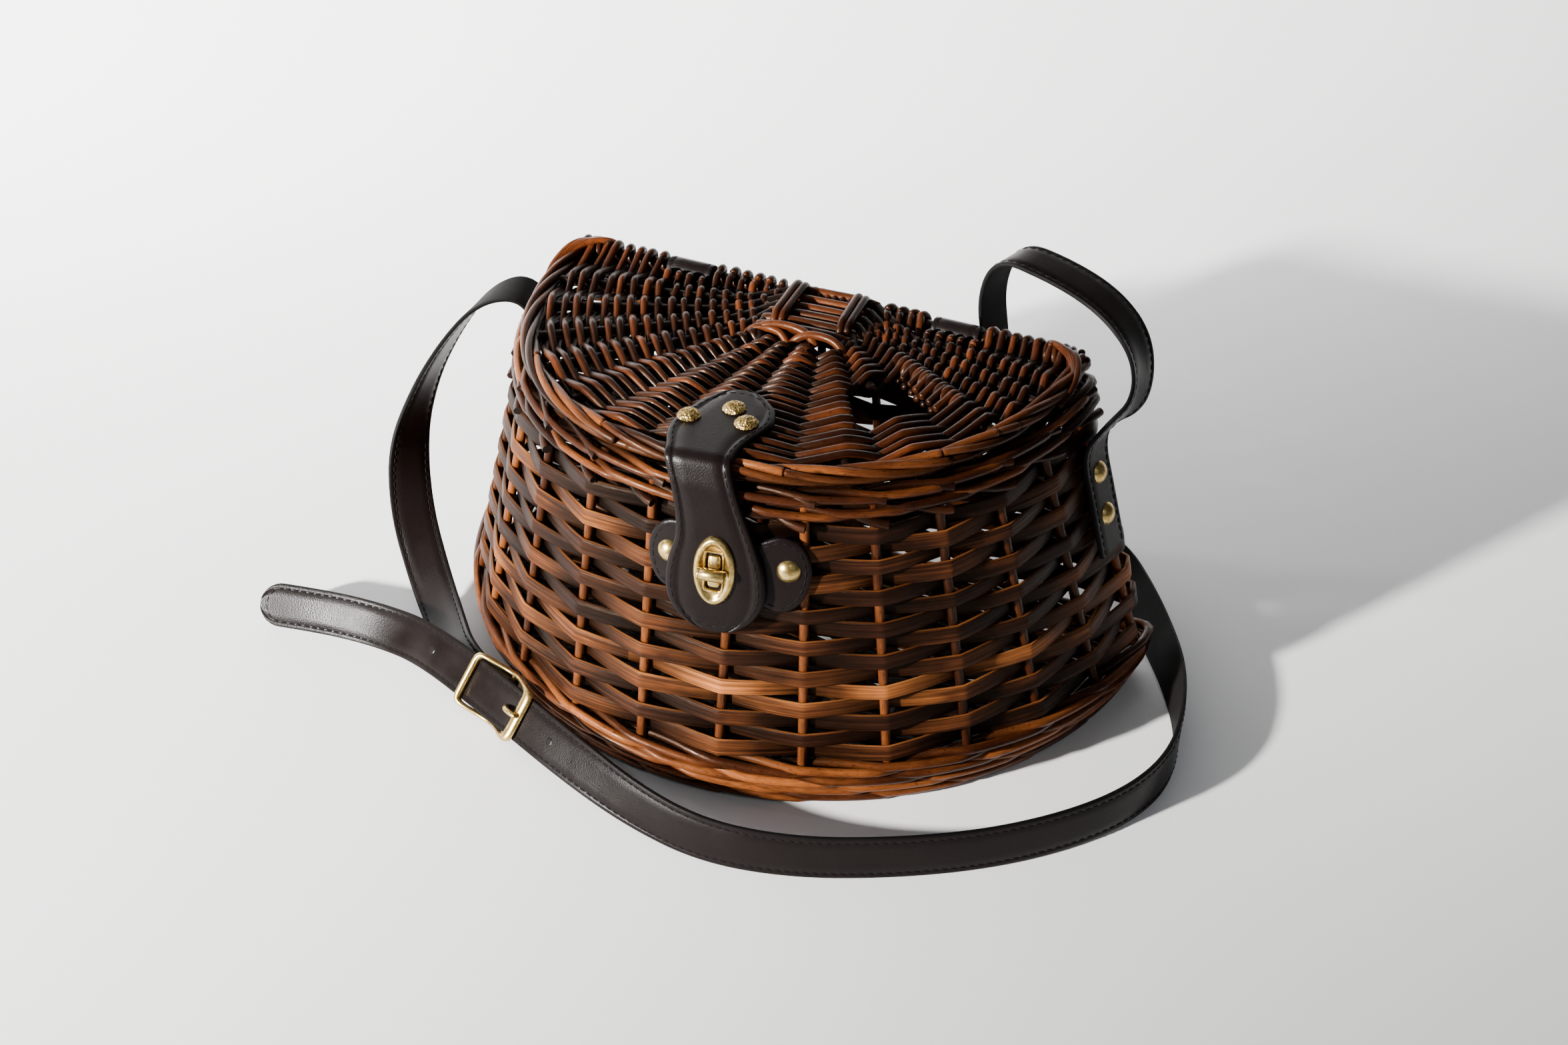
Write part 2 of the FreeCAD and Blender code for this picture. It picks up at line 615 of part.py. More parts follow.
LEFT_ROUTE = [
    (-158.4, 62.5, 86.0, -0.14, 0.99, 0.0),
    (-151.3, 64.1, 111.0, -0.14, 0.99, 0.0),
    (-143.5, 65.8, 137.0, -0.14, 0.99, 0.0),
    (-152.0, 61.0, 151.0, -0.15, 0.98, 0.05),
    (-169.0, 52.0, 146.0, -0.15, 0.97, -0.05),
    (-184.0, 43.0, 125.0, -0.08, 0.97, -0.20),
    (-198.0, 36.0, 97.0, 0.10, 0.95, -0.15),
    (-204.0, 24.0, 66.0, 0.40, 0.88, 0.05),
    (-194.0, 7.0, 38.0, 0.58, 0.76, 0.22),
    (-174.0, -12.0, 17.0, 0.66, 0.64, 0.38),
    (-148.0, -38.0, 11.7, 0.50, 0.60, 0.62),
    (-119.3, -68.0, 14.8, 0.31, 0.56, 0.77),
    (-91.6, -80.6, 15.2, 0.31, 0.56, 0.77),
]


def unit(vector):
    result = V(vector)
    result.normalize()
    return result


def strap_stations(route, label):
    """Straight runs joined by tangent arcs: point, tangent and width direction."""
    points = [V(*row[:3]) for row in route]
    widths = [unit(V(*row[3:])) for row in route]
    runs = [(b - a).Length for a, b in zip(points, points[1:])]
    raw = [(points[0], unit(points[1] - points[0]), 0.0)]
    radii = []
    length = 0.0
    last_cut = 0.0
    for i in range(1, len(points) - 1):
        before = unit(points[i] - points[i - 1])
        after = unit(points[i + 1] - points[i])
        turn = before.getAngle(after)
        cut = 0.45 * min(runs[i - 1], runs[i])
        radius = cut / math.tan(turn / 2.0)
        radii.append(radius)
        side = unit(after - before * before.dot(after))
        start = points[i] - before * cut
        length += runs[i - 1] - last_cut - cut + radius * turn
        last_cut = cut
        steps = max(2, int(math.degrees(turn) / 9.0))
        for k in range(steps + 1):
            swing = turn * k / steps
            spot = start + before * (radius * math.sin(swing)) + side * (radius * (1 - math.cos(swing)))
            tangent = before * math.cos(swing) + side * math.sin(swing)
            place = i - cut / runs[i - 1] + (cut / runs[i - 1] + cut / runs[i]) * k / steps
            raw.append((spot, tangent, place))
    length += runs[-1] - last_cut
    raw.append((points[-1], unit(points[-1] - points[-2]), len(points) - 1.0))
    print(label, "length", round(length, 1), "radii", [round(r, 1) for r in radii])
    print(label, "runs", [round(r, 1) for r in runs])
    stations = []
    for spot, tangent, place in raw:
        low = min(int(place), len(points) - 2)
        share = place - low
        width = widths[low] * (1 - share) + widths[low + 1] * share
        width = unit(width - tangent * width.dot(tangent))
        stations.append((spot, tangent, width))
    return stations, length


def section(spot, tangent, width, half):
    thick = tangent.cross(width) * (STRAP_THICK / 2.0)
    across = width * half
    corners = [spot + across + thick, spot - across + thick,
               spot - across - thick, spot + across - thick]
    return Part.makePolygon(corners + corners[:1])


def strap(stations, round_tip):
    half = STRAP_WIDTH / 2.0
    wires = [section(spot, tangent, width, half) for spot, tangent, width in stations[:-1]]
    spot, tangent, width = stations[-1]
    if round_tip:
        for back in (10.5, 8.0, 5.5, 3.0, 1.2, 0.0):
            reach = math.sqrt(half ** 2 - (half - back) ** 2) if back > 0 else 1.5
            wires.append(section(spot - tangent * back, tangent, width, max(reach, 1.5)))
    else:
        wires.append(section(spot, tangent, width, half))
    return Part.makeLoft(wires, True, True)


right_stations, right_length = strap_stations(RIGHT_ROUTE, "strap_right")
left_stations, left_length = strap_stations(LEFT_ROUTE, "strap_left")
strap_right = strap(right_stations, True)
strap_left = strap(left_stations, False)
for label, shape, length in (("strap_right", strap_right, right_length),
                             ("strap_left", strap_left, left_length)):
    expected = STRAP_WIDTH * STRAP_THICK * length
    print(label, "volume over section x length", round(shape.Volume / expected, 3))

# Rivets that hold each strap's end to the side of the basket
ANCHOR_Z = (124.0, 103.5)


def anchor_frame(side, z):
    """Frame on the strap's outer face, square to the strap's riveted end."""
    route = RIGHT_ROUTE if side > 0 else LEFT_ROUTE
    low = V(*route[0][:3])
    high = V(*route[2][:3])
    share = (z - low.z) / (high.z - low.z)
    up = unit(high - low)
    back = unit(V(*route[0][3:]))
    back = unit(back - up * back.dot(up))
    across = back * side
    out = across.cross(up)
    bow = 0.15
    return Frame(low + (high - low) * share + out * (STRAP_THICK / 2.0 + bow), across, up, out)


anchor_rivet = rivet(5.3, 2.8, 1.8, STRAP_THICK + 2 * WEAVE_HALF + 1.4, 4.0, 1.0)
anchor_rivets = {}
anchor_shanks = {}
wall_gaps = [weave_gap(frame) for frame in patch_frames]
for side in (-1, 1):
    frames = [anchor_frame(side, z) for z in ANCHOR_Z]
    anchor_rivets[side] = [frame.place(anchor_rivet) for frame in frames]
    anchor_shanks[side] = [frame.place(Part.makeCylinder(1.8, 8, V(0, 0, -4))) for frame in frames]
    wall_gaps += [weave_gap(frame) for frame in frames]
strap_right = strap_right.cut(anchor_shanks[1])
strap_left = strap_left.cut(anchor_shanks[-1])
side_weave = wall_ring(FOOT_TOP, WEAVE_TOP, WEAVE_HALF).cut(stakes + wall_gaps)

# Buckle
buckle_u = unit(BUCKLE_U)
buckle_w = unit(BUCKLE_W - buckle_u * BUCKLE_W.dot(buckle_u))
buckle = Frame(BUCKLE_CENTRE, buckle_u, buckle_w, buckle_u.cross(buckle_w))
FRAME_HALF_LENGTH = 22.5
FRAME_HALF_WIDTH = 14.2
FRAME_SIDE = 2.4
LEFT_BAR = 4.5
RIGHT_BAR = 7.0
FRAME_LOW = 1.5             # underside of the end bars, over the strap
FRAME_HIGH = 4.2
BAR_R = 1.3
BAR_DROP = -4.9             # the middle bar's axis, under both straps


def side_rail(w_low):
    """Side of the frame: an arched rail that dips to carry the middle bar."""
    low = BAR_DROP - BAR_R
    outline = [(-FRAME_HALF_LENGTH, FRAME_HIGH), (-FRAME_HALF_LENGTH, FRAME_LOW), (-14, FRAME_LOW - 2.0),
               (-6, low + 0.6), (0, low), (6, low + 0.6), (14, FRAME_LOW - 2.0),
               (FRAME_HALF_LENGTH, FRAME_LOW), (FRAME_HALF_LENGTH, FRAME_HIGH),
               (15, FRAME_HIGH - 2.0), (6, low + 3.6), (0, low + 2.9), (-6, low + 3.6),
               (-15, FRAME_HIGH - 2.0)]
    points = [V(u, w_low, n) for u, n in outline]
    return Part.Face(Part.makePolygon(points + points[:1])).extrude(V(0, FRAME_SIDE, 0))


def end_bar(u_low, u_high):
    bar = Part.makeBox(u_high - u_low, 2 * FRAME_HALF_WIDTH, FRAME_HIGH - FRAME_LOW,
                       V(u_low, -FRAME_HALF_WIDTH, FRAME_LOW))
    return bar


middle_bar = Part.makeCylinder(BAR_R, 2 * FRAME_HALF_WIDTH - 1, V(0, -FRAME_HALF_WIDTH + 0.5, BAR_DROP),
                               V(0, 1, 0))
buckle_frame = side_rail(-FRAME_HALF_WIDTH).fuse([
    side_rail(FRAME_HALF_WIDTH - FRAME_SIDE),
    end_bar(-FRAME_HALF_LENGTH, -FRAME_HALF_LENGTH + LEFT_BAR),
    end_bar(FRAME_HALF_LENGTH - RIGHT_BAR, FRAME_HALF_LENGTH),
    middle_bar]).removeSplitter()
buckle_frame = buckle.place(buckle_frame)

# Prong: an eye round the middle bar and an arm up through the strap's hole
PRONG_EYE_R = 2.6
PRONG_HALF = 1.2
PRONG_GAP = 0.06
HOLE_U = 10.0


def prong():
    eye = Part.makeCylinder(PRONG_EYE_R, 2 * PRONG_HALF, V(0, -PRONG_HALF, BAR_DROP), V(0, 1, 0))
    tip = FRAME_HALF_LENGTH - 1.5
    bar = FRAME_HALF_LENGTH - RIGHT_BAR - 0.4
    outline = [(0.5, BAR_DROP + 0.4), (0.5, BAR_DROP + 2.4), (HOLE_U - 2.6, -2.3), (HOLE_U - 0.2, 2.6),
               (bar, FRAME_HIGH + 2.4), (tip, FRAME_HIGH + 2.0),
               (tip, FRAME_HIGH + 0.3), (bar, FRAME_HIGH + 0.3),
               (HOLE_U + 2.0, 1.6), (HOLE_U - 0.6, -3.9), (3.0, BAR_DROP + 0.2)]
    points = [V(u, -PRONG_HALF, n) for u, n in outline]
    arm = Part.Face(Part.makePolygon(points + points[:1])).extrude(V(0, 2 * PRONG_HALF, 0))
    pin = Part.makeCylinder(BAR_R + PRONG_GAP, 10, V(0, -5, BAR_DROP), V(0, 1, 0))
    return buckle.place(eye.fuse(arm).removeSplitter().cut(pin))


buckle_prong = prong()

# The left strap folds round the middle bar, with a slot for the prong
fold_outer = BAR_R + 0.1 + STRAP_THICK
fold = Part.makeCylinder(fold_outer, STRAP_WIDTH, V(0, -STRAP_WIDTH / 2, BAR_DROP), V(0, 1, 0))
fold = fold.cut(Part.makeBox(20, STRAP_WIDTH + 2, 20, V(-20, -STRAP_WIDTH / 2 - 1, BAR_DROP - 10)))
fold = fold.cut(Part.makeCylinder(BAR_R + 0.1, 30, V(0, -15, BAR_DROP), V(0, 1, 0)))
under = Part.makeBox(24, STRAP_WIDTH, STRAP_THICK, V(-24, -STRAP_WIDTH / 2, BAR_DROP - fold_outer))
prong_slot = Part.makeBox(9, 2 * PRONG_HALF + 1.2, 20, V(-4, -PRONG_HALF - 0.6, BAR_DROP - 10))
strap_left = strap_left.fuse([buckle.place(fold), buckle.place(under)])
strap_left = strap_left.cut([buckle.place(prong_slot)])

# Punched holes: a slot where the prong stands, and round holes either side of it
punches = [Part.makeBox(7.0, 2 * PRONG_HALF + 0.8, 8, V(HOLE_U - 3.6, -PRONG_HALF - 0.4, -4))]
for step in (-2, -1, 1):
    punches.append(Part.makeCylinder(PUNCH_R, 12, V(HOLE_U + step * PUNCH_STEP, 0, -6)))
strap_right = strap_right.cut([buckle.place(punch) for punch in punches])


# --- output -----------------------------------------------------------------------------

os.makedirs("parts", exist_ok=True)
save("base_weave", base_weave)
save("base_sticks", Part.makeCompound(sticks))
save("stakes", Part.makeCompound(stakes))
save("foot_waling", foot_waling)
save("side_weave", side_weave)
save("upper_waling", upper_waling)
save("rim_border", rim_border)
save("hinge_loop_left", hinge_loop(-1))
save("hinge_loop_right", hinge_loop(1))
save("latch_patch", latch_patch)
save("latch_patch_rivets", Part.makeCompound(patch_rivets))
save("lock_base", lock_base)
save("turn_button", turn_button)
save("lid_border", lid_border)
save("lid_weave", lid_weave)
save("lid_ribs", Part.makeCompound(rib_rods))
save("lid_back_rod", lid_back_rod)
save("lid_back_wrap", Part.makeCompound(wraps))
save("lid_centre_band", Part.makeCompound(band_rods))
save("lid_bindings", Part.makeCompound(bindings))
save("lid_corner_binding_left", corner_binding(-1))
save("lid_corner_binding_right", corner_binding(1))
save("lid_tab", tab)
save("lid_tab_rivets", Part.makeCompound(tab_rivets))
save("latch_flap", latch_flap)
save("lock_plate", lock_plate)
save("strap_right", strap_right)
save("strap_left", strap_left)
save("anchor_rivets_right", Part.makeCompound(anchor_rivets[1]))
save("anchor_rivets_left", Part.makeCompound(anchor_rivets[-1]))
save("buckle_frame", buckle_frame)
save("buckle_prong", buckle_prong)
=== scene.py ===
import math

import bpy
import numpy as np
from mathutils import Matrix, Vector


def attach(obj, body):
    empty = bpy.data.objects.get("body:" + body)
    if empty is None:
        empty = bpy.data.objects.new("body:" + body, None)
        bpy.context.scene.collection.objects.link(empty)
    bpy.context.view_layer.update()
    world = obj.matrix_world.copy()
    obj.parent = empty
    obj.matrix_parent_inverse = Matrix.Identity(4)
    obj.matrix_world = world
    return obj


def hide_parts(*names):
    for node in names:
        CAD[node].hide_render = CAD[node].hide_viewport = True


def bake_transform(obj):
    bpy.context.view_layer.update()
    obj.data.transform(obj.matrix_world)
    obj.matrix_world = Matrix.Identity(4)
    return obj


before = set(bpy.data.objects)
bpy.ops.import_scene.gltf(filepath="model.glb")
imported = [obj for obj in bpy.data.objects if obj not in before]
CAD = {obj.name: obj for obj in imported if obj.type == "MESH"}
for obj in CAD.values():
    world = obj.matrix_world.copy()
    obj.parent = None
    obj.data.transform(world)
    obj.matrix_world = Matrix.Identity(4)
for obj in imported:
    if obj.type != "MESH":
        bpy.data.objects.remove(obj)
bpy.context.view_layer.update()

MM = 0.001
UP = np.array([0, 0, 1.0])
rng = np.random.default_rng(14)


# --- camera -------------------------------------------------------------------

# the photograph's viewpoint, from a camera fitted to the basket's outlines: degrees, metres, and
# the lens in millimetres
VIEW_AZIMUTH, VIEW_ELEVATION, VIEW_LENS = 25.04, 35.46, 53.07
VIEW_DISTANCE, VIEW_TARGET_Z, VIEW_RIGHT, VIEW_UP = 1.0795, 0.09, 0.01757, 0.00246


def make_camera():
    az, el = math.radians(VIEW_AZIMUTH), math.radians(VIEW_ELEVATION)
    back = Vector((math.sin(az) * math.cos(el), -math.cos(az) * math.cos(el), math.sin(el)))
    right = Vector((math.cos(az), math.sin(az), 0))
    up = back.cross(right)
    data = bpy.data.cameras.new("camera")
    data.lens = VIEW_LENS
    data.sensor_width = 36.0
    data.clip_start, data.clip_end = 0.02, 50.0
    camera = bpy.data.objects.new("camera", data)
    bpy.context.scene.collection.objects.link(camera)
    camera.location = Vector((0, 0, VIEW_TARGET_Z)) + right * VIEW_RIGHT + up * VIEW_UP + back * VIEW_DISTANCE
    camera.rotation_mode = "QUATERNION"
    camera.rotation_quaternion = (-back).to_track_quat("-Z", "Y")
    bpy.context.scene.camera = camera


make_camera()


# --- swept meshes ---------------------------------------------------------------

def unit(v):
    v = np.asarray(v, float)
    return v / np.maximum(np.linalg.norm(v, axis=-1, keepdims=True), 1e-12)


def tangents(path):
    t = np.empty_like(path)
    t[1:-1] = path[2:] - path[:-2]
    t[0] = path[1] - path[0]
    t[-1] = path[-1] - path[-2]
    return unit(t)


def lengths(path):
    steps = np.linalg.norm(np.diff(path, axis=0), axis=1)
    return np.concatenate([[0.0], np.cumsum(steps)])


def at_lengths(s, run, rows):
    """Rows that are known at the lengths run, read at the lengths s."""
    return np.stack([np.interp(s, run, rows[:, k]) for k in range(3)], axis=1)


def resample(path, step):
    """Points evenly spaced along a polyline."""
    run = lengths(path)
    count = max(3, int(round(run[-1] / step)) + 1)
    return at_lengths(np.linspace(0, run[-1], count), run, path)


def smoothed(path, rounds=1):
    """Corner-cutting (Chaikin) that keeps both ends."""
    path = np.asarray(path, float)
    for _ in range(rounds):
        a = path[:-1] * 0.75 + path[1:] * 0.25
        b = path[:-1] * 0.25 + path[1:] * 0.75
        middle = np.stack([a, b], axis=1).reshape(-1, 3)
        path = np.concatenate([path[:1], middle, path[-1:]])
    return path


def ring_angles(count):
    return np.arange(count) * 2 * math.pi / count


class Plane:
    """Turns (u, w, n) in millimetres into places in metres."""

    def __init__(self, origin, u, w):
        self.origin = np.asarray(origin, float)
        self.u = unit(u)
        self.w = unit(np.asarray(w, float) - self.u * np.dot(self.u, w))
        self.n = np.cross(self.u, self.w)

    def at(self, points):
        points = np.asarray(points, float)
        u, w, n = (points[..., k:k + 1] for k in range(3))
        return (self.origin + u * self.u + w * self.w + n * self.n) * MM


class Build:
    """Collects swept rods, strips and sheets into one mesh, in metres."""

    def __init__(self):
        self.co, self.quads, self.uv = [], [], []
        self.tone, self.crest, self.slots = [], [], []
        self.count = 0

    def grid(self, points, u, v, tone, slot=0, crest=0.6, close_v=False):
        """Faces over points[i, j]; u runs along i and v along j."""
        rows, cols = points.shape[:2]
        index = np.arange(rows * cols).reshape(rows, cols) + self.count
        if close_v:
            index = np.concatenate([index, index[:, :1]], axis=1)
            v = np.concatenate([v, v[:1] + 1.0])
        corners = [index[:-1, :-1], index[1:, :-1], index[1:, 1:], index[:-1, 1:]]
        self.quads.append(np.stack(corners, axis=-1).reshape(-1, 4))
        uv = np.stack(np.meshgrid(u, v, indexing="ij"), axis=-1)
        corners = [uv[:-1, :-1], uv[1:, :-1], uv[1:, 1:], uv[:-1, 1:]]
        self.uv.append(np.stack(corners, axis=2).reshape(-1, 2))
        self.slots.append(np.repeat(np.broadcast_to(slot, rows - 1), index.shape[1] - 1))
        self.co.append(points.reshape(-1, 3))
        self.tone.append(np.full(rows * cols, tone))
        self.crest.append(np.repeat(np.broadcast_to(crest, rows), cols))
        self.count += rows * cols

    def sweep(self, path, side, up, section, tone, slot=0, scale=1.0, crest=0.6, cap=0.5,
              end_slot=None):
        """Sweeps a closed section (in side and up coordinates) along a path, with domed or cut ends."""
        scale = np.broadcast_to(scale, len(path))
        crest = np.broadcast_to(crest, len(path))
        reach = cap * np.abs(section).max()
        t = tangents(path)
        dome = [(1.0, 0.02), (0.75, 0.66), (0.3, 0.92)] if cap else [(0.0, 0.02)]
        n = len(dome)
        head = np.array([path[0] - t[0] * reach * k for k, _ in dome])
        tail = np.array([path[-1] + t[-1] * reach * k for k, _ in dome[::-1]])
        sizes = np.array([size for _, size in dome])
        path = np.concatenate([head, path, tail])
        scale = np.concatenate([sizes * scale[0], scale, sizes[::-1] * scale[-1]])
        pad = ((n, n), (0, 0))
        side, up = np.pad(side, pad, mode="edge"), np.pad(up, pad, mode="edge")
        crest = np.pad(crest, (n, n), mode="edge")
        ring = (path[:, None, :]
                + side[:, None, :] * section[None, :, 0:1] * scale[:, None, None]
                + up[:, None, :] * section[None, :, 1:2] * scale[:, None, None])
        slots = np.full(len(path) - 1, slot)
        if end_slot is not None:
            slots[:n] = end_slot
            slots[-n:] = end_slot
        run = lengths(path) + tone * 7.0
        self.grid(ring, run, np.arange(len(section)) / len(section), tone, slots, crest, close_v=True)

    def rod(self, path, radius, reference, tone, sides=10, **rest):
        path = np.asarray(path, float)
        t = tangents(path)
        ref = np.broadcast_to(np.asarray(reference, float), path.shape)
        side = unit(ref - t * (ref * t).sum(axis=1, keepdims=True))
        angle = ring_angles(sides)
        section = np.stack([np.cos(angle), np.sin(angle)], axis=1) * radius
        self.sweep(path, side, np.cross(t, side), section, tone, **rest)

    def strip(self, path, across, half_width, half_thick, tone, **rest):
        """Flat strip with rounded edges; across is the direction of its width."""
        path = np.asarray(path, float)
        t = tangents(path)
        across = np.broadcast_to(np.asarray(across, float), path.shape)
        side = unit(across - t * (across * t).sum(axis=1, keepdims=True))
        w, h = half_width, half_thick
        half = [(w - 0.9 * h, -h), (w - 0.3 * h, -0.72 * h), (w, 0), (w - 0.3 * h, 0.72 * h),
                (w - 0.9 * h, h), (0.45 * w, 1.04 * h), (-0.45 * w, 1.04 * h)]
        section = np.array(half + [(-x, -y) for x, y in half])
        self.sweep(path, side, np.cross(t, side), section, tone, cap=0.0, **rest)

    def make(self, name, body, materials, replaces=()):
        co = np.concatenate(self.co).astype(np.float32)
        quads = np.concatenate(self.quads).astype(np.int32)
        mesh = bpy.data.meshes.new(name)
        mesh.vertices.add(len(co))
        mesh.vertices.foreach_set("co", co.ravel())
        mesh.loops.add(quads.size)
        mesh.loops.foreach_set("vertex_index", quads.ravel())
        mesh.polygons.add(len(quads))
        mesh.polygons.foreach_set("loop_start", np.arange(len(quads), dtype=np.int32) * 4)
        mesh.update(calc_edges=True)
        layer = mesh.uv_layers.new(name="UVMap")
        layer.data.foreach_set("uv", np.concatenate(self.uv).astype(np.float32).ravel())
        # crest: how far a point stands out of the weave, which the willow materials turn into painted shade
        # low down and painted highlight high up
        for label, values in (("tone", self.tone), ("crest", self.crest)):
            attribute = mesh.attributes.new(label, "FLOAT", "POINT")
            attribute.data.foreach_set("value", np.concatenate(values).astype(np.float32))
        mesh.polygons.foreach_set("use_smooth", np.ones(len(quads), bool))
        mesh.polygons.foreach_set("material_index", np.concatenate(self.slots).astype(np.int32))
        for material in materials:
            mesh.materials.append(material)
        mesh.set_sharp_from_angle(angle=math.radians(58))
        mesh.validate()
        return add_piece(name, mesh, body, replaces)


def add_piece(name, mesh, body, replaces=()):
    piece = bpy.data.objects.new(name, mesh)
    bpy.context.scene.collection.objects.link(piece)
    if body:
        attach(piece, body)
    if replaces:
        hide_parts(*replaces)
    return piece


# --- materials --------------------------------------------------------------------

class Nodes:
    """Short helpers for building one material's node tree."""

    def __init__(self, name):
        self.material = bpy.data.materials.new(name)
        self.material.use_nodes = True
        self.tree = self.material.node_tree
        self.bsdf = self.tree.nodes["Principled BSDF"]

    def add(self, kind, **inputs):
        node = self.tree.nodes.new("ShaderNode" + kind)
        for key, value in inputs.items():
            self.put(node.inputs[key.replace("_", " ")], value)
        return node

    def put(self, socket, value):
        if isinstance(value, bpy.types.NodeSocket):
            self.tree.links.new(value, socket)
        else:
            socket.default_value = value

    def plain_uv(self):
        node = self.add("UVMap")
        node.uv_map = "UVMap"
        return node.outputs[0]

    def uv(self, scale_u, scale_v):
        scaled = self.add("VectorMath")
        scaled.operation = "MULTIPLY"
        self.put(scaled.inputs[0], self.plain_uv())
        self.put(scaled.inputs[1], (scale_u, scale_v, 1.0))
        return scaled.outputs[0]

    def attribute(self, name):
        node = self.add("Attribute")
        node.attribute_name = name
        return node.outputs["Fac"]

    def noise(self, vector, scale, detail=3.0, roughness=0.55):
        node = self.add("TexNoise", Scale=scale, Detail=detail, Roughness=roughness)
        self.put(node.inputs["Vector"], vector)
        return node.outputs["Fac"]

    def ramp(self, value, *stops):
        node = self.add("ValToRGB")
        self.put(node.inputs[0], value)
        elements = node.color_ramp.elements
        while len(elements) < len(stops):
            elements.new(0.5)
        for element, (position, colour) in zip(elements, stops):
            element.position = position
            if isinstance(colour, (int, float)):
                colour = (colour, colour, colour)
            element.color = (*colour, 1.0)
        return node.outputs["Color"]

    def mix(self, share, a, b, mode="MIX"):
        node = self.add("Mix")
        node.data_type = "RGBA"
        node.blend_type = mode
        self.put(node.inputs[0], share)
        for socket, value in ((node.inputs[6], a), (node.inputs[7], b)):
            if isinstance(value, tuple):
                value = (*value, 1.0)
            self.put(socket, value)
        return node.outputs[2]

    def math(self, operation, a, b=0.5, clamp=False):
        node = self.add("Math")
        node.operation = operation
        node.use_clamp = clamp
        self.put(node.inputs[0], a)
        self.put(node.inputs[1], b)
        return node.outputs[0]

    def total(self, *parts):
        """Sum of (value, weight) pairs."""
        values = [self.math("MULTIPLY", value, weight) for value, weight in parts]
        result = values[0]
        for value in values[1:]:
            result = self.math("ADD", result, value)
        return result

    def v(self):
        split = self.add("SeparateXYZ")
        self.put(split.inputs[0], self.plain_uv())
        return split.outputs[1]

    def bump(self, height, strength, distance):
        node = self.add("Bump", Strength=strength, Distance=distance)
        self.put(node.inputs["Height"], height)
        self.put(self.bsdf.inputs["Normal"], node.outputs[0])

    def finish(self, colour, roughness, **rest):
        self.put(self.bsdf.inputs["Base Color"], colour)
        self.put(self.bsdf.inputs["Roughness"], roughness)
        for key, value in rest.items():
            self.put(self.bsdf.inputs[key.replace("_", " ")], value)
        return self.material


def stain_and_painted_light(n, colour, crest):
    """Darkens the weave's recesses with painted shade and some pooled stain, and lightens its crests with
    painted highlight and some wear.
    """
    shade = n.ramp(crest, (0.0, 0.08), (0.45, 0.45), (0.8, 1.0), (1.0, 1.3))
    return n.mix(1.0, colour, shade, "MULTIPLY")


def willow_rod(name, dark, middle, bright, gloss=0.32):
    """Round willow under a dark stain: glossy skin, long streaks, dark specks and knots; painted shade in its
    recesses and painted highlight on its crests.
    """
    n = Nodes(name)
    streak = n.noise(n.uv(34.0, 1.8), 1.0, 4.0)
    patch = n.noise(n.uv(11.0, 0.5), 1.0, 2.0)
    mixed = n.total((n.attribute("tone"), 0.40), (patch, 0.42), (streak, 0.38))
    colour = n.ramp(mixed, (0.38, dark), (0.60, middle), (0.84, bright))
    fine = n.noise(n.uv(230.0, 20.0), 1.0, 3.0)
    colour = n.mix(0.6, colour, n.ramp(fine, (0.3, 0.45), (0.7, 1.4)), "MULTIPLY")
    speck = n.noise(n.uv(480.0, 9.0), 1.0, 1.0)
    colour = n.mix(0.8, colour, n.ramp(speck, (0.65, 1.0), (0.73, 0.22)), "MULTIPLY")
    knot = n.noise(n.uv(62.0, 1.1), 1.0, 1.0)
    colour = n.mix(0.8, colour, n.ramp(knot, (0.68, 1.0), (0.75, 0.18)), "MULTIPLY")
    # painted shade in the recesses and painted highlight on the crests, mixed with the stain
    colour = stain_and_painted_light(n, colour, n.attribute("crest"))
    rough = n.ramp(streak, (0.25, gloss - 0.06), (0.8, gloss + 0.16))
    n.bump(n.total((fine, 1.0), (streak, 0.8)), 0.4, 0.0004)
    return n.finish(colour, rough, Coat_Weight=0.04, Coat_Roughness=0.12, Specular_IOR_Level=0.15,
                    Specular_Tint=(1.0, 0.66, 0.46, 1.0))


def willow_strip(name):
    """Split willow: a grained flat face with paler split edges."""
    n = Nodes(name)
    grain = n.noise(n.uv(22.0, 22.0), 1.0, 5.0, 0.65)
    patch = n.noise(n.uv(19.0, 1.4), 1.0, 3.0)
    mixed = n.total((n.attribute("tone"), 0.34), (patch, 0.52), (grain, 0.30))
    face = n.ramp(mixed, (0.38, (0.0036, 0.0015, 0.0010)), (0.55, (0.0135, 0.0046, 0.0023)),
                  (0.67, (0.058, 0.0180, 0.0056)), (0.80, (0.22, 0.072, 0.0185)))
    lines = n.noise(n.uv(13.0, 30.0), 1.0, 3.0, 0.6)
    face = n.mix(0.7, face, n.ramp(lines, (0.36, 0.30), (0.5, 0.9), (0.66, 1.9)), "MULTIPLY")
    # the section's edges lie at v = 0.14 and v = 0.64
    near = [n.math("ABSOLUTE", n.math("SUBTRACT", n.v(), middle)) for middle in (0.143, 0.643)]
    edge = n.math("SUBTRACT", 1.0, n.math("MULTIPLY", n.math("MINIMUM", *near), 8.5), clamp=True)
    edge = n.ramp(edge, (0.12, 0.0), (0.55, 0.9))
    pale = n.ramp(mixed, (0.42, (0.024, 0.0075, 0.0024)), (0.60, (0.115, 0.037, 0.0092)),
                  (0.80, (0.30, 0.112, 0.0290)))
    # painted shade in the recesses and painted highlight on the crests, mixed with the stain
    colour = stain_and_painted_light(n, n.mix(edge, face, pale), n.attribute("crest"))
    rough = n.ramp(patch, (0.3, 0.30), (0.75, 0.48))
    n.bump(n.total((lines, 0.7), (grain, 0.5)), 0.6, 0.0006)
    return n.finish(colour, rough, Specular_IOR_Level=0.09, Specular_Tint=(1.0, 0.70, 0.50, 1.0))


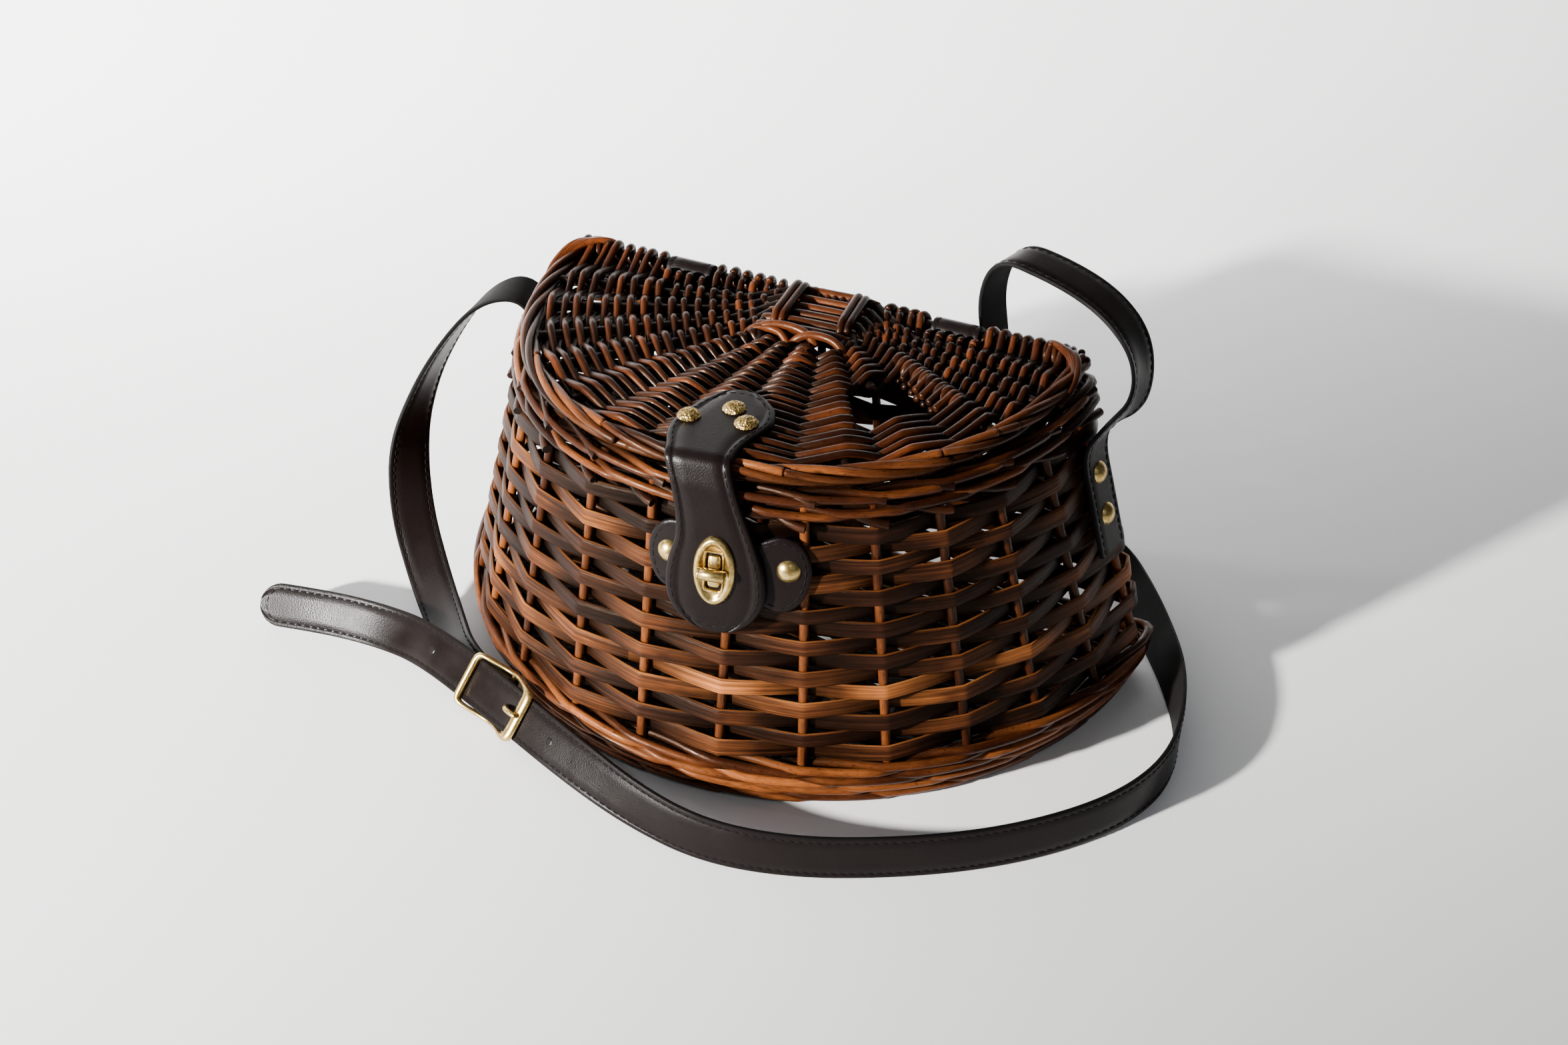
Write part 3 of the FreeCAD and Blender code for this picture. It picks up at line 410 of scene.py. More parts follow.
def leather(name, colour, gloss):
    """Smooth dark leather: fine grain, pores and a few worn spots."""
    n = Nodes(name)
    coords = n.add("TexCoord").outputs["Object"]
    grain = n.add("TexVoronoi", Scale=1500.0)
    n.put(grain.inputs["Vector"], coords)
    pores = n.noise(coords, 900.0, 3.0)
    cloud = n.noise(coords, 42.0, 3.0)
    scuff = n.noise(coords, 160.0, 6.0, 0.75)
    worn = n.ramp(scuff, (0.62, 0.0), (0.80, 1.0))
    base = n.mix(cloud, tuple(c * 0.72 for c in colour), tuple(c * 1.35 for c in colour))
    base = n.mix(n.math("MULTIPLY", worn, 0.35), base, tuple(c * 3.0 + 0.003 for c in colour))
    rough = n.ramp(cloud, (0.3, gloss - 0.05), (0.7, gloss + 0.09))
    n.bump(n.total((grain.outputs["Distance"], 0.7), (pores, 0.5)), 0.28, 0.00025)
    return n.finish(base, rough, Specular_IOR_Level=0.10)


def brass(name, hammered=False):
    """Tarnished brass, smooth or with the beaten face of the lid's rivets."""
    n = Nodes(name)
    coords = n.add("TexCoord").outputs["Object"]
    cloud = n.noise(coords, 260.0, 4.0, 0.6)
    spots = n.noise(coords, 900.0, 3.0, 0.7)
    colour = n.ramp(cloud, (0.3, (0.30, 0.19, 0.055)), (0.55, (0.60, 0.43, 0.15)),
                    (0.8, (0.80, 0.62, 0.27)))
    if hammered:
        tarnish = n.ramp(spots, (0.42, (0.16, 0.10, 0.05)), (0.6, (1, 1, 1)))
        colour = n.mix(0.75, colour, tarnish, "MULTIPLY")
        cells = n.add("TexVoronoi", Scale=900.0)
        n.put(cells.inputs["Vector"], coords)
        n.bump(cells.outputs["Distance"], 0.9, 0.0006)
        rough = n.ramp(spots, (0.35, 0.55), (0.7, 0.26))
    else:
        tarnish = n.ramp(spots, (0.36, (0.35, 0.26, 0.15)), (0.55, (1, 1, 1)))
        colour = n.mix(0.4, colour, tarnish, "MULTIPLY")
        n.bump(spots, 0.12, 0.0002)
        rough = n.ramp(cloud, (0.3, 0.38), (0.75, 0.20))
    return n.finish(colour, rough, Metallic=1.0)


# dark, middle and bright colours of the stain
ROD = willow_rod("willow_rod", (0.0030, 0.0010, 0.0006), (0.023, 0.0056, 0.0016), (0.16, 0.046, 0.0105))
ROD_DARK = willow_rod("willow_rod_dark", (0.0020, 0.0008, 0.0006), (0.0115, 0.0029, 0.0010),
                      (0.082, 0.0200, 0.0050))
RIB = willow_rod("willow_rib", (0.002, 0.001, 0.0008), (0.006, 0.0024, 0.0016), (0.018, 0.007, 0.004), 0.45)
CUT_END = willow_rod("willow_cut_end", (0.002, 0.0011, 0.001), (0.006, 0.003, 0.0022),
                     (0.016, 0.008, 0.0055), 0.6)
STRIP = willow_strip("split_willow")
LEATHER = leather("leather", (0.0040, 0.0024, 0.0021), 0.31)
LEATHER_EDGE = leather("leather_edge", (0.0014, 0.0011, 0.0011), 0.6)
LEATHER_BACK = leather("leather_back", (0.0034, 0.0028, 0.0028), 0.7)
THREAD = leather("thread", (0.0016, 0.0013, 0.0013), 0.7)
BRASS = brass("aged_brass")
BRASS_HAMMERED = brass("hammered_brass", hammered=True)
LEATHERS = [LEATHER, LEATHER_EDGE, LEATHER_BACK, THREAD]
FACE_SLOT, EDGE_SLOT, BACK_SLOT, THREAD_SLOT = range(4)


# --- straps -------------------------------------------------------------------------

STRAP_HALF = 11.0
STRAP_THICK = 2.2
BUCKLE_PLANE = Plane((-92.3, -82.3, 16.8), (0.92, -0.39, 0), (0.31, 0.56, 0.77))
BAR_DROP, BAR_R = -4.9, 1.3               # the buckle's bar, below its plane
PRONG_SPOT = np.array([-0.0925, -0.0827, 0.0172])
HOLE_STEPS = (-52.0, 45.0)                # from the buckle along the strap, towards the tail when negative

# x, y, z of the middle line, then the direction across the width; millimetres
RIGHT_ROUTE = [
    (158.4, 62.5, 86.0, 0.14, 0.99, 0.0),
    (151.3, 64.1, 111.0, 0.14, 0.99, 0.0),
    (143.5, 65.8, 137.0, 0.14, 0.99, 0.0),
    (150.0, 68.0, 149.0, 0.10, 0.99, -0.15),
    (157.5, 80.0, 156.0, 0.05, 0.90, -0.40),
    (155.0, 97.0, 163.0, 0.10, 0.90, -0.35),
    (145.0, 111.0, 173.0, 0.25, 0.93, -0.10),
    (128.0, 118.0, 183.0, 0.30, 0.95, 0.0),
    (105.0, 120.0, 191.0, 0.31, 0.95, 0.0),
    (80.0, 120.0, 196.0, 0.31, 0.95, 0.0),
    (71.0, 120.0, 174.0, 0.25, 0.97, 0.0),
    (75.0, 122.0, 142.0, 0.15, 0.98, 0.10),
    (79.0, 129.0, 105.0, 0.10, 0.97, 0.15),
    (84.0, 140.0, 66.0, 0.05, 0.95, 0.25),
    (94.0, 152.0, 34.0, 0.02, 0.86, 0.50),
    (115.0, 158.0, 16.0, 0.10, 0.72, 0.68),
    (139.0, 150.0, 12.3, 0.25, 0.45, 0.85),
    (158.0, 127.0, 12.0, 0.38, 0.32, 0.87),
    (176.0, 101.0, 11.3, 0.39, 0.30, 0.87),
    (193.0, 74.0, 11.4, 0.30, 0.15, 0.94),
    (206.0, 41.0, 11.8, 0.05, 0.02, 1.0),
    (210.0, 8.0, 11.8, -0.05, 0.01, 1.0),
    (201.0, -22.0, 11.8, -0.05, 0.04, 1.0),
    (181.0, -50.0, 11.7, -0.03, 0.05, 1.0),
    (152.0, -77.0, 11.8, -0.03, 0.06, 1.0),
    (117.0, -99.0, 11.7, -0.02, 0.08, 1.0),
    (78.0, -117.0, 11.8, -0.01, 0.10, 1.0),
    (38.0, -124.0, 11.5, 0.04, 0.20, 0.98),
    (0.0, -117.5, 12.4, 0.12, 0.33, 0.93),
    (-41.0, -104.1, 15.6, 0.28, 0.54, 0.79),
    (-92.5, -82.7, 17.2, 0.31, 0.56, 0.77),
    (-144.0, -60.4, 15.6, 0.31, 0.57, 0.77),
    (-176.0, -52.5, 10.8, 0.24, 0.56, 0.79),
    (-210.5, -54.2, 10.1, 0.12, 0.58, 0.80),
    (-243.0, -61.0, 10.0, 0.10, 0.60, 0.79),
]
LEFT_ROUTE = [
    (-158.4, 62.5, 86.0, -0.14, 0.99, 0.0),
    (-151.3, 64.1, 111.0, -0.14, 0.99, 0.0),
    (-143.5, 65.8, 137.0, -0.14, 0.99, 0.0),
    (-152.0, 61.0, 151.0, -0.15, 0.98, 0.05),
    (-169.0, 52.0, 146.0, -0.15, 0.97, -0.05),
    (-184.0, 43.0, 125.0, -0.08, 0.97, -0.20),
    (-198.0, 36.0, 97.0, 0.10, 0.95, -0.15),
    (-204.0, 24.0, 66.0, 0.40, 0.88, 0.05),
    (-194.0, 7.0, 38.0, 0.58, 0.76, 0.22),
    (-174.0, -12.0, 17.0, 0.66, 0.64, 0.38),
    (-148.0, -38.0, 11.7, 0.50, 0.60, 0.62),
    (-119.3, -68.0, 14.8, 0.31, 0.56, 0.77),
    (-91.6, -80.6, 15.2, 0.31, 0.56, 0.77),
]


def spline_points(points, name):
    """Points along the smooth NURBS line whose control points are given in metres."""
    curve = bpy.data.curves.new(name, "CURVE")
    curve.dimensions = "3D"
    spline = curve.splines.new("NURBS")
    spline.points.add(len(points) - 1)
    for control, point in zip(spline.points, points):
        control.co = (*point, 1.0)
    spline.order_u = 3
    spline.use_endpoint_u = True
    spline.resolution_u = 8
    helper = bpy.data.objects.new(name, curve)
    bpy.context.scene.collection.objects.link(helper)
    graph = bpy.context.evaluated_depsgraph_get()
    mesh = bpy.data.meshes.new_from_object(helper.evaluated_get(graph))
    line = np.array([v.co for v in mesh.vertices], float)
    bpy.data.objects.remove(helper)
    bpy.data.curves.remove(curve)
    bpy.data.meshes.remove(mesh)
    return line


def strap_line(route, name):
    """The strap's middle line and the unit direction across it."""
    middle = [tuple(c * MM for c in row[:3]) for row in route]
    width = unit([row[3:] for row in route])
    side = [tuple(np.array(m) + w * STRAP_HALF * MM) for m, w in zip(middle, width)]
    line = spline_points(middle, name)
    edge = spline_points(side, name + "_side")
    t = tangents(line)
    across = edge - line
    across = unit(across - t * (across * t).sum(axis=1, keepdims=True))
    return line, across


CHANNEL = 0.76          # the sewn channels' place, as a share of the half width
STRAP_STEP = 0.0022     # metres between a strap's rings
STRAP_TIP = np.array([1.1, 0.85, 0.62, 0.4, 0.22, 0.09, 0.02])    # rings of a round tip, in half widths
STRAP_PROFILE = np.array([
    (-1.0, -0.3), (-0.985, 0.55), (-0.95, 0.86), (-0.88, 1.0), (-0.80, 1.0), (-CHANNEL, 0.80), (-0.72, 1.0),
    (-0.4, 1.04), (0.0, 1.06), (0.4, 1.04), (0.72, 1.0), (CHANNEL, 0.80), (0.80, 1.0), (0.88, 1.0),
    (0.95, 0.86), (0.985, 0.55), (1.0, -0.3), (0.985, -0.86), (0.9, -1.0), (0.0, -1.0), (-0.9, -1.0),
    (-0.985, -0.86)])
# first and last point of the profile, and the material between them
STRAP_FACES = ((0, 2, EDGE_SLOT), (2, 14, FACE_SLOT), (14, 17, EDGE_SLOT), (17, 22, BACK_SLOT))
PROUD = 0.98            # where the threads lie, in half thicknesses


def leather_strap(build, line, across, half, thick, stitch_side=1.0, round_tip=False, stitches=True):
    """Strap with rolled edges, sewn channels and stitches; half and thick are in millimetres."""
    run = lengths(line)
    whole, w, h = run[-1], half * MM, thick * MM / 2
    s = np.linspace(0, whole, int(whole / STRAP_STEP) + 1)
    if round_tip:
        s = np.concatenate([s[:-6], whole - w * STRAP_TIP])
    line = at_lengths(s, run, line)
    across = unit(at_lengths(s, run, across))
    t = tangents(line)
    out = np.cross(across, t) * stitch_side
    widths = np.full(len(s), w)
    if round_tip:
        left = np.clip(whole - s, 0, w)
        widths = np.sqrt(np.maximum(w * w - (w - left) ** 2, (0.08 * w) ** 2))
    ring = (line[:, None, :] + across[:, None, :] * STRAP_PROFILE[None, :, 0:1] * widths[:, None, None]
            + out[:, None, :] * STRAP_PROFILE[None, :, 1:2] * h)
    # each end is closed by drawing its ring in to the middle
    head, tail = (ring[k:k + 1] * 0.01 + ring[k].mean(axis=0) * 0.99 for k in (0, len(ring) - 1))
    ring = np.concatenate([head, ring, tail])
    u = np.concatenate([s[:1], s, s[-1:]])
    for first, last, slot in STRAP_FACES:
        picks = np.arange(first, last + 1) % len(STRAP_PROFILE)
        build.grid(ring[:, picks], u, np.linspace(0, 1, len(picks)), 0.5, slot)
    if not stitches:
        return
    sewn = s <= whole - (w * 0.95 if round_tip else 0.001)
    for edge in (-CHANNEL, CHANNEL):
        row = line[sewn] + across[sewn] * edge * w + out[sewn] * h * PROUD
        stitch_row(build, row, out[sewn])
    if round_tip:
        a = np.linspace(-math.pi / 2, math.pi / 2, 20)[:, None]
        k = np.searchsorted(s, whole - w) - 1
        arc = line[k] + (t[k] * np.cos(a) + across[k] * np.sin(a)) * w * CHANNEL
        stitch_row(build, arc + out[k] * h * PROUD, np.broadcast_to(out[k], arc.shape))


def stitch_row(build, path, out, pitch=0.0041, length=0.0029):
    """Short thread stitches, proud of the leather, along a path."""
    run = lengths(path)
    count = int(run[-1] / pitch)
    starts = (np.arange(count) + 0.5) * run[-1] / count - length / 2
    angle = np.arange(6) * math.pi / 3
    radius = np.array([0.00008, 0.00026, 0.00032, 0.00026, 0.00008])[:, None, None]
    for start in starts:
        s = start + length * np.array([0.0, 0.12, 0.5, 0.88, 1.0])
        p = at_lengths(s, run, path)
        o = unit(at_lengths(s, run, out))
        side = unit(np.cross(tangents(p), o))
        ring = (p[:, None, :] + side[:, None, :] * np.cos(angle)[None, :, None] * radius * 1.25
                + o[:, None, :] * np.sin(angle)[None, :, None] * radius)
        build.grid(ring, s, np.arange(6) / 6, 0.5, THREAD_SLOT, close_v=True)


# radius and height of the rings round a punched hole: a dark disc of edge leather at its mouth, painted shade
# standing in for the open hole, then the leather pressed in round it
HOLE_RINGS = ((EDGE_SLOT, ((0.02, 0.02), (1.25, 0.02), (1.3, 0.1))),
              (FACE_SLOT, ((1.35, 0.08), (1.7, 0.0), (2.2, -0.2))))
TURN = 6.3              # divides an angle to give v from 0 to 1 round a ring


def painted_shade_hole(build, centre, along, across, out):
    # the hole is not cut: a dark disc just above the leather stands in for it as painted shade
    a = ring_angles(20)
    around = along * np.cos(a)[:, None] + across * np.sin(a)[:, None]
    for slot, rings in HOLE_RINGS:
        layers = [centre + around * r * MM + out * up * MM for r, up in rings]
        build.grid(np.array(layers), np.array([r for r, _ in rings]), a / TURN, 0.0, slot, crest=0.0,
                   close_v=True)


def make_right_strap(line, across):
    build = Build()
    leather_strap(build, line, across, STRAP_HALF, STRAP_THICK, 1.0, round_tip=True)
    run = lengths(line)
    at_buckle = run[np.linalg.norm(line - PRONG_SPOT, axis=1).argmin()]
    for step in HOLE_STEPS:
        k = int(np.searchsorted(run, at_buckle - step * MM))
        t = tangents(line)[k]
        out = np.cross(across[k], t)
        painted_shade_hole(build, line[k] + out * STRAP_THICK * 0.58 * MM, t, across[k], out)
    return build.make("shoulder_strap_right", "basket", LEATHERS, ["strap_right"])


def make_left_strap(line, across):
    """The half that ends at the buckle, folded round its bar and back under itself."""
    build = Build()
    leather_strap(build, line, across, STRAP_HALF, STRAP_THICK, -1.0)
    loop, under = 2.5, 24.0
    fold_back = [(0.0, 0.0, BAR_DROP + loop)]
    fold_back += [(loop * math.sin(v), 0.0, BAR_DROP + loop * math.cos(v))
                  for v in np.linspace(0, math.pi, 12)]
    fold_back += [(-8.0, 0.0, BAR_DROP - loop), (-under, 0.0, BAR_DROP - loop)]
    fold_back = BUCKLE_PLANE.at(fold_back)
    leather_strap(build, fold_back, np.broadcast_to(BUCKLE_PLANE.w, fold_back.shape), STRAP_HALF, 2.0, -1.0,
                  stitches=False)
    return build.make("shoulder_strap_left", "basket", LEATHERS, ["strap_left"])


right_line, right_across = strap_line(RIGHT_ROUTE, "strap_right_line")
left_line, left_across = strap_line(LEFT_ROUTE, "strap_left_line")
strap_right = make_right_strap(right_line, right_across)
strap_left = make_left_strap(left_line, left_across)


# --- basket walls --------------------------------------------------------------------

BELLY_Z = 22.0          # height of the basket's widest outline, in millimetres
FRONT_STAKES = 14
BACK_STAKES = 9
STAKES = FRONT_STAKES + BACK_STAKES
BACK_REACH = 0.8        # how far out the outermost back stakes stand, as a share of the half width
CORNER_RADIUS = 7.0


def front_angle(k):
    k = np.asarray(k, float)
    shift = 0.04 * (2.0 * np.maximum(0.0, k - 8.0) / 5.0 - 1.0)
    return (k + 0.5) * math.pi / FRONT_STAKES + shift


def outline(z, off):
    """Half width, back, depth and bow of the basket's outline at height z, grown by off."""
    tuck = np.maximum(0.0, 1.0 - z / BELLY_Z)
    half_width = 178.8 - 0.2921 * z - 16.4 * tuck + off
    back = 87.9 - 0.0243 * z - 5.0 * tuck + off
    depth = 179.2 - 0.20 * z - 18.4 * tuck + 2 * off
    power = 2.0 + 0.25 * np.clip((z - BELLY_Z) / 140.0, 0, 1)
    return half_width, back, depth, power


def wall(q, z, off):
    """Point on the wall in millimetres: q counts stakes, z is height, off is outward."""
    q, z, off = np.broadcast_arrays(*(np.asarray(value, float) for value in (q, z, off)))
    q = q % STAKES
    a, yb, d, n = outline(z, off)

    def bow(angle):
        c, s = np.cos(angle), np.maximum(np.sin(angle), 0)
        return np.stack([a * np.sign(c) * np.abs(c) ** (2 / n), yb - d * s ** (2 / n), z], axis=-1)

    last = FRONT_STAKES - 1
    back_x = a * (2.0 * (q - last) / (BACK_STAKES + 1) - 1.0)
    flat = np.stack([back_x, yb, z], axis=-1)
    result = np.where((q >= FRONT_STAKES)[..., None], flat, bow(front_angle(np.clip(q, 0, last))))
    # round the two back corners, left and right
    for first, sign in ((last, -1.0), (STAKES - 1, 1.0)):
        corner = np.stack([sign * a, yb, z], axis=-1)
        side_end = bow(np.full_like(a, front_angle(last if sign < 0 else 0)))
        back_end = np.stack([sign * BACK_REACH * a, yb, z], axis=-1)
        p0, p2 = (side_end, back_end) if sign < 0 else (back_end, side_end)
        l0 = np.linalg.norm(corner - p0, axis=-1)
        l2 = np.linalg.norm(corner - p2, axis=-1)
        s = (q - first) * (l0 + l2)
        e0 = (p0 - corner) / l0[..., None]
        e2 = (p2 - corner) / l2[..., None]
        r = CORNER_RADIUS
        w = np.clip((s - l0 + r) / (2 * r), 0, 1)[..., None]
        curve = corner + e0 * r * (1 - w) ** 2 + e2 * r * w ** 2
        point = np.where((s > l0 + r)[..., None], corner + e2 * (s - l0)[..., None], curve)
        point = np.where((s < l0 - r)[..., None], corner + e0 * (l0 - s)[..., None], point)
        result = np.where(((q > first) & (q < first + 1))[..., None], point, result)
    return result


def random_tone(mean, spread, low=0.0):
    return float(np.clip(rng.normal(mean, spread), low, 1.0))


def wall_up(q, z):
    return unit(wall(q, z + 1.0, 0.0) - wall(q, z - 1.0, 0.0))


def weave_wall(build):
    """Flat strips in one long spiral, in front of one stake and behind the next."""
    pitch, rows, reach, lowest = 7.65, 15, 3.35, 33.4
    half_width, half_thick, back_wider = 3.8, 0.85, 1.13
    steps = np.array([0.0, 0.035, 0.09, 0.25, 0.42, 0.58, 0.75, 0.91, 0.965])
    per = len(steps)
    q = (np.arange(rows * STAKES)[:, None] + steps[None, :]).ravel()
    within = q % STAKES
    climb = np.clip((within - FRONT_STAKES) / (BACK_STAKES - 1.0), 0, 1)
    wobble = np.interp(q, np.arange(rows * STAKES + 1), rng.normal(0, 0.36, rows * STAKES + 1))
    z = lowest + pitch * (q // STAKES + climb) + wobble
    k = np.round(q)
    swing = np.where(k % 2 == 0, 1.0, -1.0) * (1.0 - 2.0 * np.abs(q - k))
    start, last = 0, rows * STAKES
    while start < last:
        # each strip is a few stakes long, and its end hides behind the strip that follows
        end = min(last, start + int(rng.integers(9, 19)))
        if last - end < 5:
            end = last
        i0, i1 = max(0, start * per - 5), min(len(q), end * per + 4)
        bit = slice(i0, i1)
        tuck_in = np.clip(1.0 - np.arange(i1 - i0) / 6.0, 0, 1) * 1.8
        path = wall(within[bit], z[bit], reach * swing[bit] - tuck_in) * MM
        tone = random_tone(0.5, 0.24, 0.05)
        wave = 1.0 + 0.04 * np.sin(np.arange(i1 - i0) * 0.13 + start)
        wave = wave * np.where(within[bit] > FRONT_STAKES - 0.5, back_wider, 1.0)
        width = (half_width + rng.normal(0, 0.18)) * MM
        # crest: painted highlight where the strip passes in front of a stake, painted shade where it passes
        # behind
        build.strip(path, wall_up(within[bit], z[bit]), width, half_thick * MM, tone, scale=wave,
                    crest=0.5 + 0.5 * swing[bit], end_slot=1)
        start = end


def rope_wall(build, z_mid, tone_base, phase, reach=3.5, rise=1.75, radius=1.95):
    """A wale: three rods, each in front of two stakes and behind one, climbing as it goes."""
    rods, period, step, overlap = 3, 3.0, 0.1, 0.45
    for j in range(rods):
        lap_at = np.arange(0, STAKES / period + 1.01)
        drift = rng.normal(0, 0.25, len(lap_at) + 1)
        q_start = 0.0
        while q_start < STAKES:
            # rods change where they pass behind a stake
            laps = int(rng.integers(2, 5))
            first = math.ceil((q_start / period + j / rods + phase) - 1e-6)
            q_end = min(STAKES + 0.5, (first + laps - j / rods - phase) * period)
            q = np.arange(q_start - overlap, q_end + overlap, step)
            theta = (q / period + j / rods + phase) * 2 * math.pi
            out = np.clip(1.0 / 3.0 - 4.0 / 3.0 * np.cos(theta), -1.0, 1.12)
            lap = (theta / (2 * math.pi)) % 1.0
            climb = np.where(lap > 5 / 6, (1 - lap) * 6, (lap - 0.5) * 3)
            climb = np.where(lap < 1 / 6, -lap * 6, climb)
            climb = np.convolve(np.pad(climb, 3, mode="edge"), np.ones(7) / 7, mode="valid")
            z = z_mid + rise * climb + np.interp(q / period, lap_at, drift[:-1])
            ends = np.clip(1.0 - np.minimum(q - q[0], q[-1] - q) / 0.5, 0, 1)
            path = wall(q, z, reach * out - 1.4 * ends) * MM
            taper = np.linspace(1.1, 0.86, len(q))
            tone = random_tone(tone_base, 0.2, 0.03)
            # crest: painted highlight where the rod passes in front of the stakes, painted shade behind them
            build.rod(path, radius * MM, (0, 0, 1), tone, scale=taper, crest=0.5 + 0.45 * out)
            q_start = q_end


def cut_ends(build, z, drop):
    """The ends of the border's rods, cut off short where they come out past each stake."""
    for k in range(FRONT_STAKES):
        q = k - 0.14 + rng.normal(0, 0.05)
        fall = drop * rng.uniform(0.6, 1.2)
        line = wall(q + np.array([0.46, 0.24, 0.08, 0.0]), z - fall * np.array([-0.6, 0.2, 0.8, 1.0]),
                    np.array([-1.5, 2.6, 4.6, 5.2])) * MM
        # crest: painted shade where the end goes into the border, painted highlight where it sticks out
        build.rod(line, (2.05 + rng.normal(0, 0.12)) * MM, (0, 0, 1), float(rng.uniform(0.1, 0.45)),
                  cap=0.0, end_slot=1, crest=np.array([0.1, 0.5, 0.8, 0.8]))


STAKE_BOTTOM, STAKE_TOP, STAKE_RADIUS = 8.0, 158.0, 2.2
FOOT_ROWS = (4.05, 11.0, 18.0, 25.0)      # heights of the foot's wales
UPPER_WALE, UPPER_ENDS, RIM_ROW, RIM_ENDS = 151.2, 147.6, 158.2, 158.6

build = Build()
z = np.linspace(STAKE_BOTTOM, STAKE_TOP, 40)
for k in range(STAKES):
    across = (1, 0, 0) if k in (0, FRONT_STAKES - 1) else (0, 1, 0)
    build.rod(wall(np.full_like(z, k), z, 0.0) * MM, STAKE_RADIUS * MM, across,
              random_tone(0.66, 0.14), sides=12, crest=0.78)
build.make("stake_rods", "basket", [ROD], ["stakes"])

build = Build()
weave_wall(build)
build.make("side_weave_strips", "basket", [STRIP, CUT_END], ["side_weave"])

build = Build()
for row, z_mid in enumerate(FOOT_ROWS):
    # the lowest wale stays flat on the floor
    tone, rise = (0.45, 1.75) if row == 0 else (0.66, 2.7)
    rope_wall(build, z_mid, tone, phase=row * 0.21, radius=2.15, rise=rise)
build.make("foot_waling_rods", "basket", [ROD], ["foot_waling"])

build = Build()
rope_wall(build, UPPER_WALE, 0.5, phase=0.13, reach=3.4)
cut_ends(build, UPPER_ENDS, 1.6)
build.make("upper_waling_rods", "basket", [ROD, CUT_END], ["upper_waling"])

build = Build()
rope_wall(build, RIM_ROW, 0.6, phase=0.34, rise=1.7)
cut_ends(build, RIM_ENDS, 1.6)
build.make("rim_border_rods", "basket", [ROD, CUT_END], ["rim_border"])


# --- base ---------------------------------------------------------------------------------

BASE_HALF, BASE_BACK, BASE_DEPTH, BASE_Z = 161.0, 82.0, 158.0, 6.0
STICK_PITCH, ROW_PITCH = 40.0, 7.4
SHORTEST_ROW = 20.0     # half length, in millimetres

build = Build()
for row, y in enumerate(np.arange(-70.0, 80.0, ROW_PITCH)):
    share = np.clip((BASE_BACK - y) / BASE_DEPTH, 0, 1)
    reach = BASE_HALF * math.sqrt(max(0.0, 1 - share * share))
    if reach < SHORTEST_ROW:
        continue
    x = np.linspace(-reach, reach, 90)
    z = BASE_Z + 2.6 * np.cos(math.pi * (x / STICK_PITCH + row))
    path = np.stack([x, np.full_like(x, y), z], axis=1) * MM
    build.strip(path, (0, 1, 0), 3.4 * MM, 0.6 * MM, random_tone(0.4, 0.2), crest=0.5)
build.make("base_weave_strips", "basket", [STRIP], ["base_weave"])

build = Build()
for x in np.arange(-3, 4) * STICK_PITCH:
    front = BASE_BACK - BASE_DEPTH * math.sqrt(1 - (x / BASE_HALF) ** 2) + 2
    y = np.linspace(front, BASE_BACK - 1.0, 14)
    path = np.stack([np.full_like(y, x), y, np.full_like(y, BASE_Z)], axis=1) * MM
    build.rod(path, 2.5 * MM, (0, 0, 1), 0.5)
build.make("base_stick_rods", "basket", [ROD], ["base_sticks"])


# --- lid -----------------------------------------------------------------------------------

FAN = np.array([6.0, 76.0])               # the middle of the ribs' fan
FAN_DEG = np.array([8, 15.5, 22.5, 30, 49, 62, 82, 96, 108, 121, 134, 146, 158, 169])
CUT = 4                                   # the rib that stops at the fish hole
HINGE_Y, HINGE_Z = 84.3, 167.0
LID_A, LID_D, LID_N = 134.0, 149.7, 2.25  # half width, depth and bow of the lid's outline
HOLE_INNER, HOLE_OUTER = 68.0, 101.0      # of the fish hole, from the fan's middle
WEAVE_INSET, RIB_INSET, BORDER_INSET = 10.0, 9.0, 4.5


def lid_reach(phi, inset):
    """Distance from the fan's middle to the lid's outline, less an inset."""
    low, high = np.zeros_like(phi), np.full_like(phi, 220.0)
    a, d = LID_A - inset, LID_D - inset
    for _ in range(36):
        mid = (low + high) / 2
        x = FAN[0] + mid * np.cos(phi)
        y = FAN[1] - mid * np.sin(phi)
        value = np.abs(x / a) ** LID_N + np.abs(np.maximum(HINGE_Y - y, 0) / d) ** LID_N
        inside = value < 1
        low = np.where(inside, mid, low)
        high = np.where(inside, high, mid)
    return low


def hub_reach(phi):
    return (np.abs(np.cos(phi) / 25.0) ** 4 + np.abs(np.sin(phi) / 37.0) ** 4) ** -0.25


def fan_point(rho, phi, z):
    return np.stack([FAN[0] + rho * np.cos(phi), FAN[1] - rho * np.sin(phi), z + np.zeros_like(rho)], axis=-1)


END_PITCH = 14.0        # degrees a rib number, past the first and last rib


def rib_count(phi):
    """Continuous rib number at an angle: 0 at the first rib, 13 at the last."""
    deg = np.degrees(phi)
    k = np.interp(deg, FAN_DEG, np.arange(len(FAN_DEG)))
    k = np.where(deg < FAN_DEG[0], (deg - FAN_DEG[0]) / END_PITCH, k)
    return np.where(deg > FAN_DEG[-1], len(FAN_DEG) - 1 + (deg - FAN_DEG[-1]) / END_PITCH, k)


WEAVERS = 33
LOOP_IN, LOOP_OUT = 54.5, 83.5     # the leather hinge loops lie between these
SHORT_Y = 73.5                     # where a weaver stops in front of a loop
ROD_RADIUS, SHORT_RADIUS = 5.4, 3.6    # of a weaver's turn round the back rod, or back short of it
SWING, SLANT, SLIP = 4.3, 0.9, 2.2     # of a weaver: up and down, in and out, and at random


def wave(k, i):
    """Height of weaver i at rib number k: 1 over the rib, -1 under it."""
    value = np.cos(math.pi * (k + i))
    return 0.45 * value + 0.55 * 2 / math.pi * np.arcsin(value)


